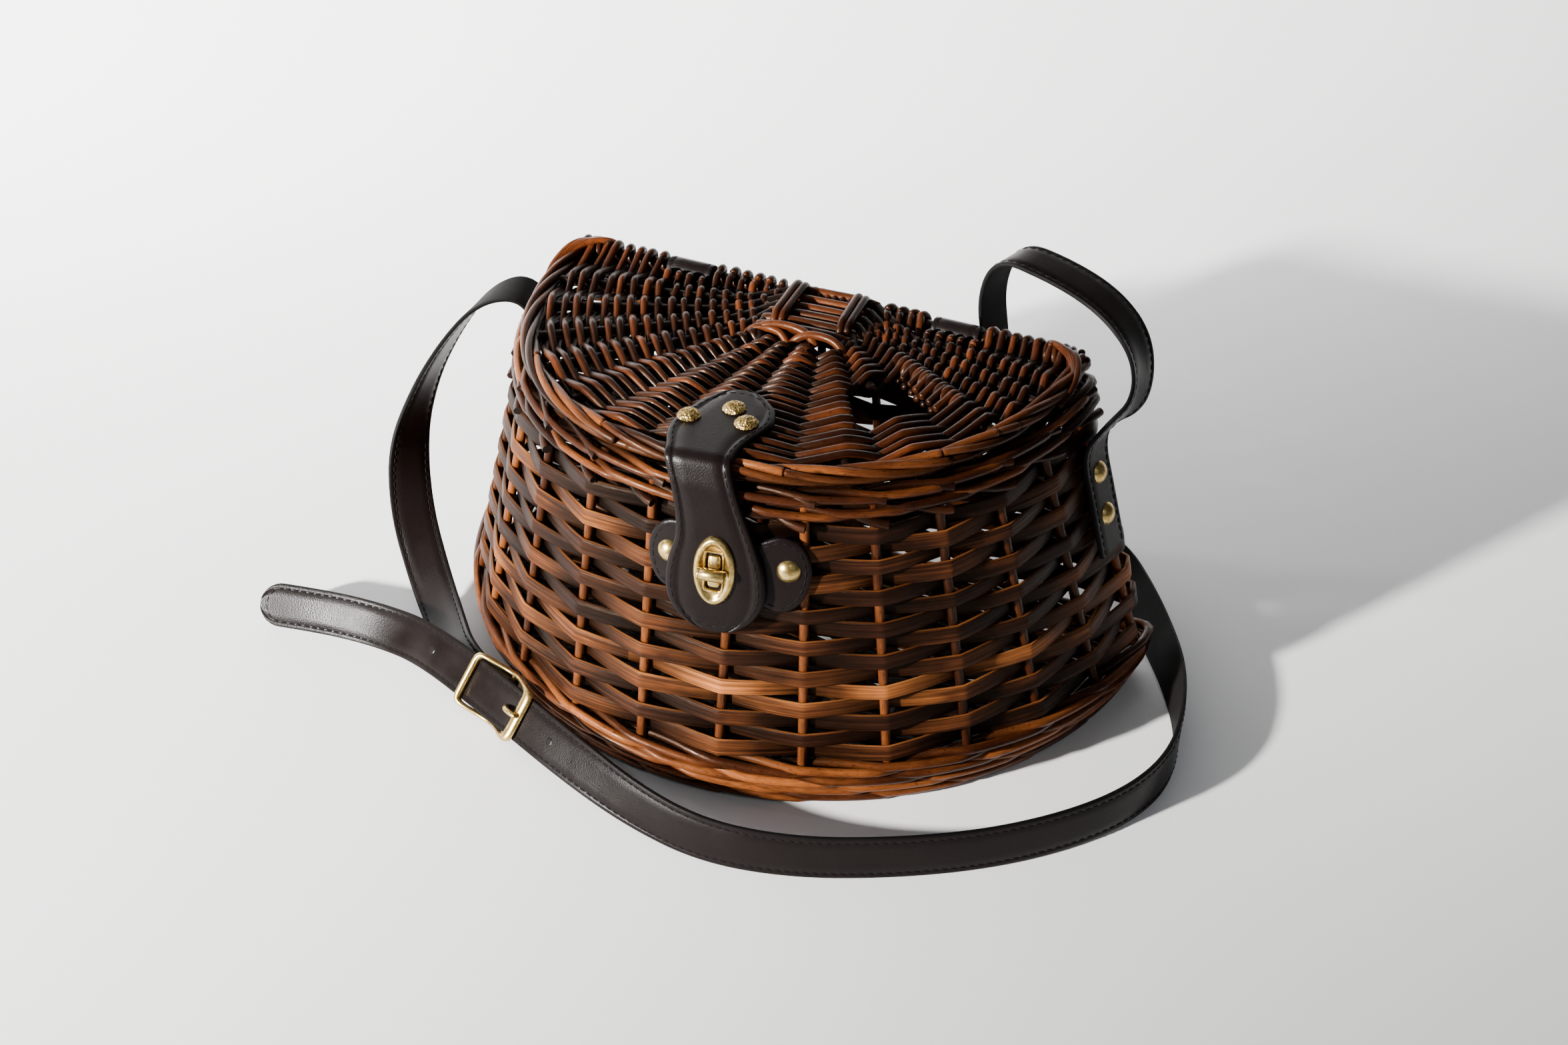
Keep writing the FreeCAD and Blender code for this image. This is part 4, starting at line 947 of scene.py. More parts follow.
def weaver_line(i):
    """One arc of the weave from the lid's right to its left, and the rib number along it."""
    phi = np.radians(np.linspace(-24, 204, 900))
    hub = hub_reach(phi)
    share = (i + 0.5) / WEAVERS
    rho = hub + (lid_reach(np.clip(phi, 0.0, math.pi), WEAVE_INSET) - hub) * share
    spot = fan_point(rho, phi, 0.0)
    # it stops at the back rod, or short of a leather hinge loop
    by_loop = (np.abs(spot[:, 0]) > LOOP_IN) & (np.abs(spot[:, 0]) < LOOP_OUT)
    keep = spot[:, 1] < np.where(by_loop, SHORT_Y, HINGE_Y)
    first, last = np.argmax(keep), len(keep) - np.argmax(keep[::-1])
    phi, rho = phi[first:last], rho[first:last]
    k = rib_count(phi)
    shift = np.interp(k, np.arange(-2, 17), rng.normal(0, 0.26, 19))
    rho = rho + SLIP * shift + SLANT * np.sin(math.pi * (k + i))
    return fan_point(rho, phi, HINGE_Z + SWING * wave(k, i) + shift), k


def lid_weave(build):
    ends = {}
    thick = rng.uniform(1.55, 2.0, WEAVERS)
    tones = np.clip(rng.normal(0.5, 0.13, WEAVERS), 0.05, 1.0)
    for i in range(WEAVERS):
        line, k = weaver_line(i)
        half = np.arange(len(line)) < len(line) / 2
        for side, end, number, mine in ((0, 0, -1, half), (1, -1, 14, ~half)):
            rodded = line[end, 1] > HINGE_Y - 2
            above = wave(number, i) > 0
            radius = ROD_RADIUS if rodded else SHORT_RADIUS
            goal = HINGE_Z + radius * (1 if above else -1)
            fade = np.clip(1 - np.abs(line[:, 1] - line[end, 1]) / 7.0, 0, 1) * mine
            line[:, 2] = line[:, 2] * (1 - fade) + goal * fade
            ends[i, side] = (line[end].copy(), above, radius)
        cut_at = np.linalg.norm(line[np.argmin(np.abs(k - CUT)), :2] - FAN)
        pieces = [line]
        if HOLE_INNER < cut_at < HOLE_OUTER:
            # turned back round the ribs on both sides of the fish hole
            pieces = [line[k <= 3.35], line[k >= 4.8]]
        for piece in pieces:
            piece = resample(piece, 1.6)
            outward = piece - np.array([*FAN, 0])
            outward[:, 2] = 0
            # crest follows the weaver's height: painted highlight over the ribs, painted shade under them
            crest = np.clip(0.5 + (piece[:, 2] - HINGE_Z) / 7.6, 0, 1)
            build.rod(piece * MM, thick[i] * MM, unit(outward), tones[i], sides=9, crest=crest,
                      scale=1.0 + 0.05 * np.sin(np.arange(len(piece)) * 0.07 + i))
    # each end turns round the back rod and comes back as the next weaver
    for (i, side), (spot, above, radius) in ends.items():
        if not above:
            continue
        mate = ends.get((i + 1, side), ends.get((i - 1, side)))[0]
        a = np.radians(np.linspace(100, -100, 15))
        arc = np.stack([np.linspace(spot[0], mate[0], 15), spot[1] + radius * np.cos(a) * 0.98,
                        HINGE_Z + radius * np.sin(a)], axis=1)
        build.rod(arc * MM, (thick[i] + 0.15) * MM, (1, 0, 0), tones[i], sides=9,
                  crest=np.clip(0.55 + 0.45 * np.sin(a), 0, 1))


def coil(start, direction, length, turns, helix, radius, tone):
    """Tight turns round a straight rod that leaves start in the given level direction."""
    along = unit(np.array([*direction, 0.0]))
    side = np.array([-along[1], along[0], 0.0])
    s = np.linspace(0, 1, int(turns * 18) + 1)
    a = 2 * math.pi * turns * s
    path = (np.array(start) + along * (s * length)[:, None] + side * (helix * np.cos(a))[:, None]
            + UP * (helix * np.sin(a))[:, None])
    build.rod(path * MM, radius * MM, along, tone, sides=10, crest=0.55 + 0.4 * np.sin(a))


def fan_direction(rib):
    angle = math.radians(FAN_DEG[rib])
    return np.array([math.cos(angle), -math.sin(angle)])


def rib_reach(rib):
    return float(lid_reach(np.array([math.radians(FAN_DEG[rib])]), RIB_INSET)[0])


def rib_points(rib, radii):
    return [np.array([*(FAN + fan_direction(rib) * r), HINGE_Z]) for r in radii]


# light rods that close the front of the centre band: x from and to, y, height
FRONT_RODS = ((-16.0, 15.0, 43.5, 174.2), (4.0, 30.0, 42.0, 173.6), (-20.0, 2.0, 41.5, 172.0))
BAND_Y = (84.5, 77.0, 69.5, 62.5, 55.5, 48.5)
BAND_Z, BAND_HALF, KNEE_Z, RIB_RADIUS = 172.0, 22.0, 170.6, 2.3

build = Build()
lid_weave(build)
# a tight coil along the rib beside the fish hole
beside = fan_direction(CUT - 1)
coil([*(FAN + beside * 55.5), HINGE_Z], beside, 44.5, 11.5, 4.2, 1.95, 0.55)
s = np.linspace(-1, 1, 16)
for x0, x1, y, top in FRONT_RODS:
    path = np.stack([(x0 + x1) / 2 + (x1 - x0) / 2 * s, y + 3.0 * (1 - s ** 2),
                     top - 4.0 * s ** 4 - 1.0 * s ** 2], axis=1)
    build.rod(path * MM, 2.0 * MM, (0, 1, 0), float(rng.uniform(0.6, 0.95)), crest=0.95)
build.make("lid_weave_rods", "lid", [ROD_DARK], ["lid_weave"])

# ribs: the six rods of the centre band bend and fan out to both sides, and two more start at the front
build = Build()
band = Build()
s = np.linspace(-1, 1, 24)
for j, y in enumerate(BAND_Y):
    for rib, sign in ((len(FAN_DEG) - 1 - j, -1), (j, 1)):
        reach = HOLE_INNER + 2.5 if rib == CUT else rib_reach(rib)
        knee = np.array([FAN[0] + sign * 21.0, y + sign * 1.5, KNEE_Z])
        path = resample(smoothed(np.array([knee] + rib_points(rib, np.linspace(46, reach, 6))), 2), 2.5)
        build.rod(path * MM, RIB_RADIUS * MM, (0, 0, 1), 0.4, cap=0.0, end_slot=1)
    path = np.stack([FAN[0] + BAND_HALF * s, y + 1.5 * s + rng.normal(0, 0.25),
                     BAND_Z - 1.6 * s ** 4], axis=1)
    radius = 2.45 + rng.normal(0, 0.15)
    band.rod(path * MM, radius * MM, (0, 1, 0), float(rng.uniform(0.45, 0.95)), crest=0.92)
for rib in (6, 7):
    line = np.array(rib_points(rib, np.linspace(24, rib_reach(rib), 12)))
    build.rod(line * MM, RIB_RADIUS * MM, (1, 0, 0), 0.4)
build.make("lid_rib_rods", "lid", [RIB, CUT_END], ["lid_ribs"])
band.make("lid_centre_band_rods", "lid", [ROD_DARK], ["lid_centre_band"])

# back rod and the wraps on it: x from and to
WRAPS = ((-128, -112), (112, 128), (-13, 25))
WRAP_PITCH, WRAP_RADIUS = 3.9, 5.0
build = Build()
x = np.linspace(-132, 132, 60)
path = np.stack([x, np.full_like(x, HINGE_Y), np.full_like(x, HINGE_Z)], axis=1)
build.rod(path * MM, 3.5 * MM, (0, 0, 1), 0.5, sides=14, crest=0.5)
build.make("lid_back_rod_willow", "lid", [ROD_DARK], ["lid_back_rod"])
build = Build()
for x0, x1 in WRAPS:
    coil([x0, HINGE_Y, HINGE_Z], (1, 0), x1 - x0, (x1 - x0) / WRAP_PITCH, WRAP_RADIUS, 1.75, 0.5)
build.make("lid_back_wraps", "lid", [ROD_DARK], ["lid_back_wrap"])


def lid_edge(angle, inset):
    """Middle line of the lid's border; angle 0 is its right end."""
    c, s = np.cos(angle), np.maximum(np.sin(angle), 0)
    x = (LID_A - inset) * np.sign(c) * np.abs(c) ** (2 / LID_N)
    y = HINGE_Y - (LID_D - inset) * s ** (2 / LID_N)
    return np.stack([x, y, np.full_like(x, HINGE_Z)], axis=-1)


BORDER_RODS, BORDER_TWIST = 5, 128.0      # rods, and millimetres for one turn of them
build = Build()
line = resample(lid_edge(np.linspace(0.0, math.pi, 500), BORDER_INSET), 1.5)
inward = np.cross(UP, tangents(line))
run = lengths(line)
for j in range(BORDER_RODS):
    a = run / BORDER_TWIST * 2 * math.pi + j * 0.4 * math.pi + 0.25 * np.sin(run / 23.0 + j)
    path = line + inward * (2.7 * np.cos(a))[:, None] + UP * (3.0 * np.sin(a))[:, None]
    cuts = [0] + sorted(rng.integers(40, len(run) - 40, 3).tolist()) + [len(run)]
    for first, last in zip(cuts, cuts[1:]):
        if last - first < 8:
            continue
        bit = slice(first, last)
        build.rod(path[bit] * MM, 1.85 * MM, (0, 0, 1), random_tone(0.6, 0.2),
                  scale=np.linspace(1.08, 0.88, last - first),
                  crest=np.clip(0.6 + 0.4 * np.sin(a[bit]), 0, 1))
build.make("lid_border_rods", "lid", [ROD], ["lid_border"])

# two doubled rods across the centre band: x at the back, x and y at the front
BINDINGS = ((-12.0, -9.5, 50.0), (19.0, 22.5, 53.0))
BINDING_BACK_Y, BINDING_Z, BINDING_BOW = 86.2, 171.0, 5.3
build = Build()
for x0, x1, y1 in BINDINGS:
    for shift, lift, start, end in ((0.0, 0.0, 0.0, 1.0), (3.6, -0.5, -0.02, 0.96)):
        s = np.linspace(start, end, 30)
        path = np.stack([x0 + (x1 - x0) * s + shift, BINDING_BACK_Y + (y1 - BINDING_BACK_Y) * s,
                         BINDING_Z + lift + BINDING_BOW * (1 - (2 * s - 1) ** 8)], axis=1)
        build.rod(path * MM, 1.9 * MM, (1, 0, 0), float(rng.uniform(0.3, 0.7)), crest=0.9)
build.make("lid_binding_rods", "lid", [ROD_DARK], ["lid_bindings"])

SIDES = (("left", -1), ("right", 1))
for name, side in SIDES:
    build = Build()
    for j in range(4):
        points = [(110.0 + 4.2 * j, 88.5 - j, 167.0), (113.0 + 4.2 * j, 87.0 - 1.2 * j, 172.4),
                  (121.0 + 2.8 * j, 82.0 - 1.5 * j, 174.0 - 0.3 * j),
                  (128.0 + 1.4 * j, 76.0 - 1.5 * j, 171.5),
                  (131.0 + 0.9 * j, 66.0 - 2.0 * j, 167.5), (131.0, 56.0 - 2.0 * j, 164.0)]
        path = resample(smoothed(np.array(points) * (side, 1, 1), 3), 1.5)
        build.rod(path * MM, (1.75 - 0.05 * j) * MM, (0, 0, 1), float(rng.uniform(0.5, 0.95)), crest=0.92)
    build.make("lid_corner_rods_" + name, "lid", [ROD_DARK], ["lid_corner_binding_" + name])


# --- hinge loops ---------------------------------------------------------------------------

LOOP_X, LOOP_HALF, LOOP_RADIUS = 69.0, 12.0, 4.95
# y from the hinge and height of one leg of a loop, from its end up to the back rod
LOOP_LEG = [(8.0, 146.0), (8.0, 152.0), (7.8, 158.0), (6.6, 163.0)]

for name, side in SIDES:
    build = Build()
    profile = [(-y, z) for y, z in LOOP_LEG]
    profile += [(LOOP_RADIUS * math.cos(v), HINGE_Z + LOOP_RADIUS * math.sin(v))
                for v in np.radians(np.linspace(180, 0, 15))[1:-1]]
    profile += LOOP_LEG[::-1]
    path = np.array([[side * LOOP_X, HINGE_Y + y, z] for y, z in profile])
    path = resample(smoothed(path, 1), 1.4)
    leather_strap(build, path * MM, np.broadcast_to([1.0, 0, 0], path.shape), LOOP_HALF, 2.0, 1.0)
    build.make("hinge_loop_leather_" + name, "basket", LEATHERS, ["hinge_loop_" + name])


# --- latch ------------------------------------------------------------------------------------

YAW, LEAN = math.radians(8.0), math.radians(10.0)
latch_out = np.array([math.sin(YAW), -math.cos(YAW), 0.0])
latch_u = np.array([math.cos(YAW), math.sin(YAW), 0.0])
latch_n = latch_out * math.cos(LEAN) + UP * math.sin(LEAN)
latch_w = np.cross(latch_n, latch_u)
LOCK = np.array([22.0, -72.395, 123.0])      # on the wall, behind the lock's middle
FOLD_OUT, FOLD_Z, BEND_Z = -7.8, 172.0, 161.0
FLAP_OFF, FLAP_THICK = 3.4, 2.4
STITCH_INSET = 2.7
FOLD = LOCK + latch_out * FOLD_OUT + UP * (FOLD_Z - LOCK[2])


def smooth_table(known, values, s):
    """Cubic through a few given values."""
    slopes = np.gradient(values, known)
    k = np.clip(np.searchsorted(known, s) - 1, 0, len(known) - 2)
    h = known[k + 1] - known[k]
    t = (s - known[k]) / h
    return ((2 * t ** 3 - 3 * t ** 2 + 1) * values[k] + (t ** 3 - 2 * t ** 2 + t) * h * slopes[k]
            + (-2 * t ** 3 + 3 * t ** 2) * values[k + 1] + (t ** 3 - t ** 2) * h * slopes[k + 1])


# distance along the leather from the fold (tab negative, flap positive), left edge, right edge
TAB_AND_FLAP = np.array([
    (-53.8, -10.0, -6.0), (-53.2, -13.0, -1.5), (-51.5, -16.5, 2.0), (-48.0, -19.5, 5.8),
    (-44.0, -22.6, 9.4), (-38.0, -25.6, 11.6), (-31.0, -28.6, 12.2), (-23.0, -30.6, 9.6),
    (-14.0, -30.0, 6.0), (-6.0, -27.4, 4.2), (0.0, -26.0, 4.2), (6.0, -24.0, 5.6), (13.0, -21.5, 8.2),
    (21.0, -19.8, 11.2), (29.0, -18.8, 14.6), (37.0, -19.0, 17.8), (46.0, -21.4, 21.0), (55.0, -22.6, 22.6),
    (62.0, -22.2, 22.4), (68.0, -20.2, 20.2), (73.0, -16.4, 16.4), (76.5, -11.8, 11.8), (78.4, -7.0, 7.0),
    (79.0, -2.5, 2.5)])


def latch_line(s):
    """Back of the leather at distance s from the fold, in the latch's middle plane."""
    out = FLAP_OFF - math.tan(LEAN) * (BEND_Z - LOCK[2])
    bend = LOCK + latch_out * out + UP * (BEND_Z - LOCK[2])
    first = np.linalg.norm(bend - FOLD)
    s = np.asarray(s, float)[:, None]
    hanging = np.where(s < first, FOLD + (bend - FOLD) / first * s, bend - latch_w * (s - first))
    return np.where(s < 0, FOLD + latch_out * s, hanging)


def rounded_sheet(build, left, right, normal, thick, rows):
    """Leather between two edge lines: a rolled rim, a sewn channel and a flat back."""
    # share of the way across, and height in thicknesses, from the rim to near the middle
    half = np.array([(0, -0.6), (0.01, -0.25), (0.03, -0.06), (0.07, 0), (0.105, 0), (0.13, -0.16),
                     (0.155, 0), (0.3, 0.02)])
    cols = np.concatenate([half[:, 0], [0.5], 1 - half[::-1, 0]])
    drop = np.concatenate([half[:, 1], [0.03], half[::-1, 1]])
    flat = left[:, None, :] * (1 - cols)[None, :, None] + right[:, None, :] * cols[None, :, None]
    top = flat + normal[:, None, :] * (thick * (1 + drop))[None, :, None]
    build.grid(top * MM, rows * MM, cols, 0.5, FACE_SLOT)
    build.grid(flat[:, ::-1] * MM, rows * MM, cols, 0.5, BACK_SLOT)
    ends = np.array([0.0, 1.0])
    for edge in (np.stack([flat[:, 0], top[:, 0]], axis=1), np.stack([top[:, -1], flat[:, -1]], axis=1)):
        build.grid(edge * MM, rows * MM, ends, 0.5, EDGE_SLOT)
    for edge in (np.stack([top[0], flat[0]]), np.stack([flat[-1], top[-1]])):
        build.grid(edge * MM, ends, cols, 0.5, EDGE_SLOT)


FLAP_STITCH = 0.0043, 0.0031        # the latch's stitches: pitch and length in metres


def latch_leather():
    """Tab and flap as one piece of leather, with stitches all round."""
    s = np.concatenate([[-53.8, -53.5, -53.0, -52.3], np.arange(-51.5, 76.0, 1.0),
                        [76.2, 77.0, 77.7, 78.3, 78.7, 79.0]])
    left = smooth_table(TAB_AND_FLAP[:, 0], TAB_AND_FLAP[:, 1], s)
    right = smooth_table(TAB_AND_FLAP[:, 0], TAB_AND_FLAP[:, 2], s)
    middle = latch_line(s)
    for _ in range(6):
        middle[1:-1] = middle[1:-1] * 0.5 + (middle[:-2] + middle[2:]) * 0.25
    normal = unit(np.cross(latch_u, tangents(middle)))
    normal *= np.sign((normal * (latch_n + UP)).sum(axis=1))[:, None]
    build = Build()
    rounded_sheet(build, middle + latch_u * left[:, None], middle + latch_u * right[:, None], normal,
                  FLAP_THICK, s)
    # stitch line: the outline drawn in towards its middle
    border = np.concatenate([np.stack([s, left], axis=1), np.stack([s, right], axis=1)[::-1]])
    inner = inset_outline(border, STITCH_INSET)
    place = at_lengths(inner[:, 0], s, middle + normal * FLAP_THICK * PROUD)
    out = at_lengths(inner[:, 0], s, normal)
    stitch_row(build, (place + latch_u * inner[:, 1:]) * MM, out, *FLAP_STITCH)
    return build.make("latch_leather", None, LEATHERS)


def inset_outline(border, inset):
    """A closed outline moved inwards by the inset, evenly spaced."""
    loop = np.concatenate([border, border[:1]])
    loop = np.concatenate([loop, np.zeros((len(loop), 1))], axis=1)
    loop = resample(loop, 1.0)
    t = np.roll(loop, -3, axis=0) - np.roll(loop, 3, axis=0)
    normal = unit(np.stack([-t[:, 1], t[:, 0]], axis=1))
    middle = loop[:, :2].mean(axis=0)
    test = loop[:, :2] + normal
    if np.linalg.norm(test - middle, axis=1).mean() > np.linalg.norm(loop[:, :2] - middle, axis=1).mean():
        normal = -normal
    return loop[:, :2] + normal * inset


latch_piece = latch_leather()
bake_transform(latch_piece)
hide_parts("lid_tab", "latch_flap")

PATCH_OFF, PATCH_THICK = 3.9, 2.2
PATCH_SPINE = (-20, 27, 1.8)        # u from and to, and w, in the latch's plane
# share of the way out from the spine, and height in thicknesses
PATCH_RINGS = ((1.0, 0.35), (0.995, 0.75), (0.97, 0.96), (0.90, 1.0), (0.72, 1.02), (0.45, 1.03), (0.0, 1.03))
PATCH_OUTLINE = [(-33, 2), (-29, 14), (-20, 18.5), (-10, 15), (3.5, 13), (17, 15), (27, 18.5), (36, 14),
                 (40, 2), (36.5, -12), (28, -17.5), (17, -13.5), (3.5, -9.5), (-10, -11.5), (-20, -15),
                 (-29, -11)]


def closed_curve(points, steps=6):
    """Smooth closed curve through the points (Catmull-Rom)."""
    p = np.array(points, float)
    before, after, beyond = np.roll(p, 1, 0), np.roll(p, -1, 0), np.roll(p, -2, 0)
    t = (np.arange(steps) / steps)[None, :, None]
    p, before, after, beyond = (v[:, None, :] for v in (p, before, after, beyond))
    curve = 0.5 * (2 * p + (after - before) * t + (2 * before - 5 * p + 4 * after - beyond) * t ** 2
                   + (3 * p - before - 3 * after + beyond) * t ** 3)
    return curve.reshape(-1, 2)


def on_wall(flat, off):
    """Wall points in front of the latch's (u, w) points, and the outward direction there."""
    spot = LOCK + latch_u * flat[:, :1] + latch_w * flat[:, 1:]
    x, z = spot[:, 0], spot[:, 2]
    a, back, d, n = outline(z, off)
    reach = np.abs(x / a) ** n
    y = back - d * (1 - reach) ** (1 / n)
    slope = d * (1 - reach) ** (1 / n - 1) * reach / np.where(np.abs(x) < 1e-6, 1e-6, x)
    out = unit(np.stack([slope, -np.ones_like(x), np.full_like(x, 0.19)], axis=1))
    return np.stack([x, y, z], axis=1), out


def wall_patch():
    """Dog-bone of leather on the wall, with a rolled rim and stitches."""
    build = Build()
    rim = closed_curve(PATCH_OUTLINE)
    left, right, w = PATCH_SPINE
    spine = np.stack([np.clip(rim[:, 0], left, right), np.full(len(rim), w)], axis=1)
    layers = [on_wall(rim, PATCH_OFF)[0]]
    for share, height in PATCH_RINGS:
        base, out = on_wall(spine + (rim - spine) * share, PATCH_OFF)
        layers.append(base + out * PATCH_THICK * height)
    layers = np.stack(layers) * MM
    v = np.linspace(0, 1, len(rim))
    build.grid(layers[:3], np.arange(3.0), v, 0.5, EDGE_SLOT, close_v=True)
    build.grid(layers[2:], np.arange(6.0), v, 0.5, FACE_SLOT, close_v=True)
    base, out = on_wall(inset_outline(rim, 2.4), PATCH_OFF)
    stitch_row(build, (base + out * PATCH_THICK) * MM, out, *FLAP_STITCH)
    build.make("latch_patch_leather", "basket", LEATHERS, ["latch_patch"])


wall_patch()


# --- metal ---------------------------------------------------------------------------------------

def rounded_box_line(half_u, half_w, radius, count, centre=(0.0, 0.0)):
    """Closed rounded rectangle, its points at the same angles whatever its size."""
    a = ring_angles(count)
    c, s = np.cos(a), np.sin(a)
    power = 2.0 + 0.9 * min(half_u, half_w) / radius
    reach = (np.abs(c / half_u) ** power + np.abs(s / half_w) ** power) ** (-1 / power)
    return np.stack([centre[0] + reach * c, centre[1] + reach * s], axis=1)


def ring_stack(build, plane, rings):
    """Skin over closed outlines, each with its height out of the plane."""
    layers = []
    for outline, n in rings:
        n = np.broadcast_to(n, len(outline))
        layers.append(plane.at(np.concatenate([outline, n[:, None]], axis=1)))
    layers = np.stack(layers)
    around = np.arange(layers.shape[1]) / layers.shape[1]
    build.grid(layers, np.arange(len(layers)) * MM, around, 0.5, close_v=True)


LOCK_W = 0.8            # millimetres up the wall from LOCK
lock_plane = Plane(LOCK + latch_w * LOCK_W, latch_u, latch_w)
FACE = (FLAP_OFF + FLAP_THICK) * math.cos(LEAN)     # height of the flap's face in the lock's plane
COUNT = 64              # points round an outline of the lock


def oval(half_u, half_w):
    a = ring_angles(COUNT)
    return np.stack([half_u * np.cos(a), half_w * np.sin(a)], axis=1)


def box(half_u, half_w):
    return rounded_box_line(half_u, half_w, 0.5, COUNT)


build = Build()
ring_stack(build, lock_plane, [(shape(half_u, half_w), FACE + up) for shape, half_u, half_w, up in (
    (oval, 9.5, 16.3, -0.3), (oval, 9.6, 16.4, 0.4), (oval, 9.4, 16.2, 1.1), (oval, 8.9, 15.7, 1.9),
    (oval, 8.1, 14.9, 2.45), (oval, 7.2, 14.0, 2.5), (oval, 6.3, 13.1, 2.1), (oval, 5.6, 12.2, 1.3),
    (box, 4.7, 9.9, 1.1), (box, 4.55, 9.7, 1.9), (box, 4.05, 9.2, 1.95), (box, 3.8, 8.95, 1.6),
    (box, 3.75, 8.9, -0.3))])
build.make("lock_face_plate", "flap", [BRASS], ["lock_plate"])

# the post stands in the plate's window with a gap all round
build = Build()
ring_stack(build, lock_plane, [
    (oval(8.0, 14.0), 2.25), (oval(8.0, 14.0), 2.85), (oval(7.7, 13.7), 3.05), (box(2.9, 7.6), 3.1),
    (box(2.8, 7.5), FACE + 1.2), (box(2.5, 7.2), FACE + 1.55), (box(1.2, 3.0), FACE + 1.6),
    (box(0.1, 0.1), FACE + 1.6)])
build.make("lock_base_post", "basket", [BRASS], ["lock_base"])

# the button: a short roll with a bead at each end, on a spindle
ROLL_RADIUS = 2.75
ROLL_UP = FACE + 1.6 + 0.7 + ROLL_RADIUS
roll_u = np.array([-6.45, -6.4, -6.1, -5.3, -5.1, -4.9, 4.9, 5.1, 5.3, 6.1, 6.4, 6.45])
half = [0.02, 0.78, 0.94, 1.0, 0.9, 1.0]
roll_r = ROLL_RADIUS * np.array(half + half[::-1])[:, None]
a = ring_angles(28)
roll = np.stack([np.broadcast_to(roll_u[:, None], (len(roll_u), len(a))), roll_r * np.cos(a),
                 ROLL_UP + roll_r * np.sin(a)], axis=-1)
build = Build()
build.grid(lock_plane.at(roll), roll_u * MM, a / TURN, 0.5, close_v=True)
ring_stack(build, lock_plane, [
    (box(0.1, 0.1), 3.3), (oval(1.15, 1.15), 3.3), (oval(1.15, 1.15), FACE + 1.65),
    (box(2.4, 1.7), FACE + 1.75), (box(2.3, 1.6), ROLL_UP)])
build.make("turn_button_roll", "button", [BRASS], ["turn_button"])


def node_islands(node):
    """Centres of a CAD node's separate solids."""
    mesh = CAD[node].data
    co = np.array([v.co for v in mesh.vertices])
    owner = np.arange(len(co))

    def root(i):
        while owner[i] != i:
            owner[i] = owner[owner[i]]
            i = owner[i]
        return i

    for edge in mesh.edges:
        owner[root(edge.vertices[0])] = root(edge.vertices[1])
    spots = {tuple(np.round(p, 5)): i for i, p in enumerate(co)}
    for i, p in enumerate(co):
        owner[root(i)] = root(spots[tuple(np.round(p, 5))])
    groups = {}
    for i in range(len(co)):
        groups.setdefault(root(i), []).append(i)
    return [co[g] for g in groups.values()]


# a rivet head's outline from its top: share of its radius, share of its height down
RIVET = ((0.02, 0.0), (0.25, 0.05), (0.5, 0.19), (0.72, 0.42), (0.88, 0.68), (0.97, 0.88), (1.0, 0.98),
         (0.97, 1.06), (0.35, 1.06), (0.34, 4.0))


def rivet_heads(node, name, body, material, out_at, head_r=5.3, head_h=2.8, dents=0.0):
    """Domed heads with short shanks, on the CAD rivets' own axes."""
    build = Build()
    for points in node_islands(node):
        axis = unit(out_at(points.mean(axis=0)))
        far = points @ axis
        top = points[far > far.max() - 0.0012].mean(axis=0)
        top = top + axis * (far.max() - top @ axis)
        side = unit(np.cross(axis, [0.3, 0.2, 1.0] if abs(axis[2]) < 0.9 else [1.0, 0, 0]))
        plane = Plane(top / MM, side, np.cross(axis, side))
        a = ring_angles(28)
        rings = []
        for share, drop in RIVET:
            reach = head_r * share * (1.0 + dents * rng.normal(0, 0.02, 28))
            dented = 0.1 < share < 0.95 and drop < 1
            n = -head_h * drop + (dents * rng.normal(0, 0.16, 28) if dented else 0.0)
            rings.append((np.stack([reach * np.cos(a), reach * np.sin(a)], axis=1), n))
        ring_stack(build, plane, rings[::-1])
    build.make(name, body, [material], [node])


def patch_out(p):
    flat = (p / MM - LOCK) @ np.stack([latch_u, latch_w], axis=1)
    return on_wall(flat[None, :], 0.0)[1][0]


def strap_out(route, side):
    up = unit(np.array(route[2][:3]) - np.array(route[0][:3]))
    back = np.array(route[0][3:])
    back = unit(back - up * (back @ up))
    return np.cross(back * side, up)


rivet_heads("latch_patch_rivets", "latch_patch_rivet_heads", "basket", BRASS, patch_out)
rivet_heads("lid_tab_rivets", "lid_tab_rivet_heads", "lid", BRASS_HAMMERED, lambda p: UP, 5.4, dents=1.0)
rivet_heads("anchor_rivets_right", "anchor_rivet_heads_right", "basket", BRASS,
            lambda p: strap_out(RIGHT_ROUTE, 1))
rivet_heads("anchor_rivets_left", "anchor_rivet_heads_left", "basket", BRASS,
            lambda p: strap_out(LEFT_ROUTE, -1))

# buckle: a cast frame, bowed down at its middle to carry the bar under the straps
HALF_LONG, HALF_WIDE, FRAME_CORNER = 22.5, 14.2, 2.3
# share of the way from the opening to the outer edge, and height
FRAME_RINGS = ((0.5, -1.35), (0.06, -1.3), (0.0, -0.9), (0.0, 0.2), (0.10, 0.75), (0.3, 1.25), (0.62, 1.35),
               (0.86, 0.85), (1.0, -0.1), (1.0, -0.9), (0.94, -1.3), (0.5, -1.35))
# the prong from its eye to its tip: along the strap, and up
PRONG_ARM = [(-1.0, -2.2), (0.6, -2.4), (5.0, -3.2), (8.6, -1.2), (10.2, 2.4), (12.6, 5.2), (15.5, 5.9),
             (18.6, 5.75), (20.6, 5.4)]


def frame_n(outline):
    u = np.clip(outline[:, 0] / 20.5, -1, 1)
    return 2.85 - 7.4 * np.cos(u * math.pi / 2) ** 2


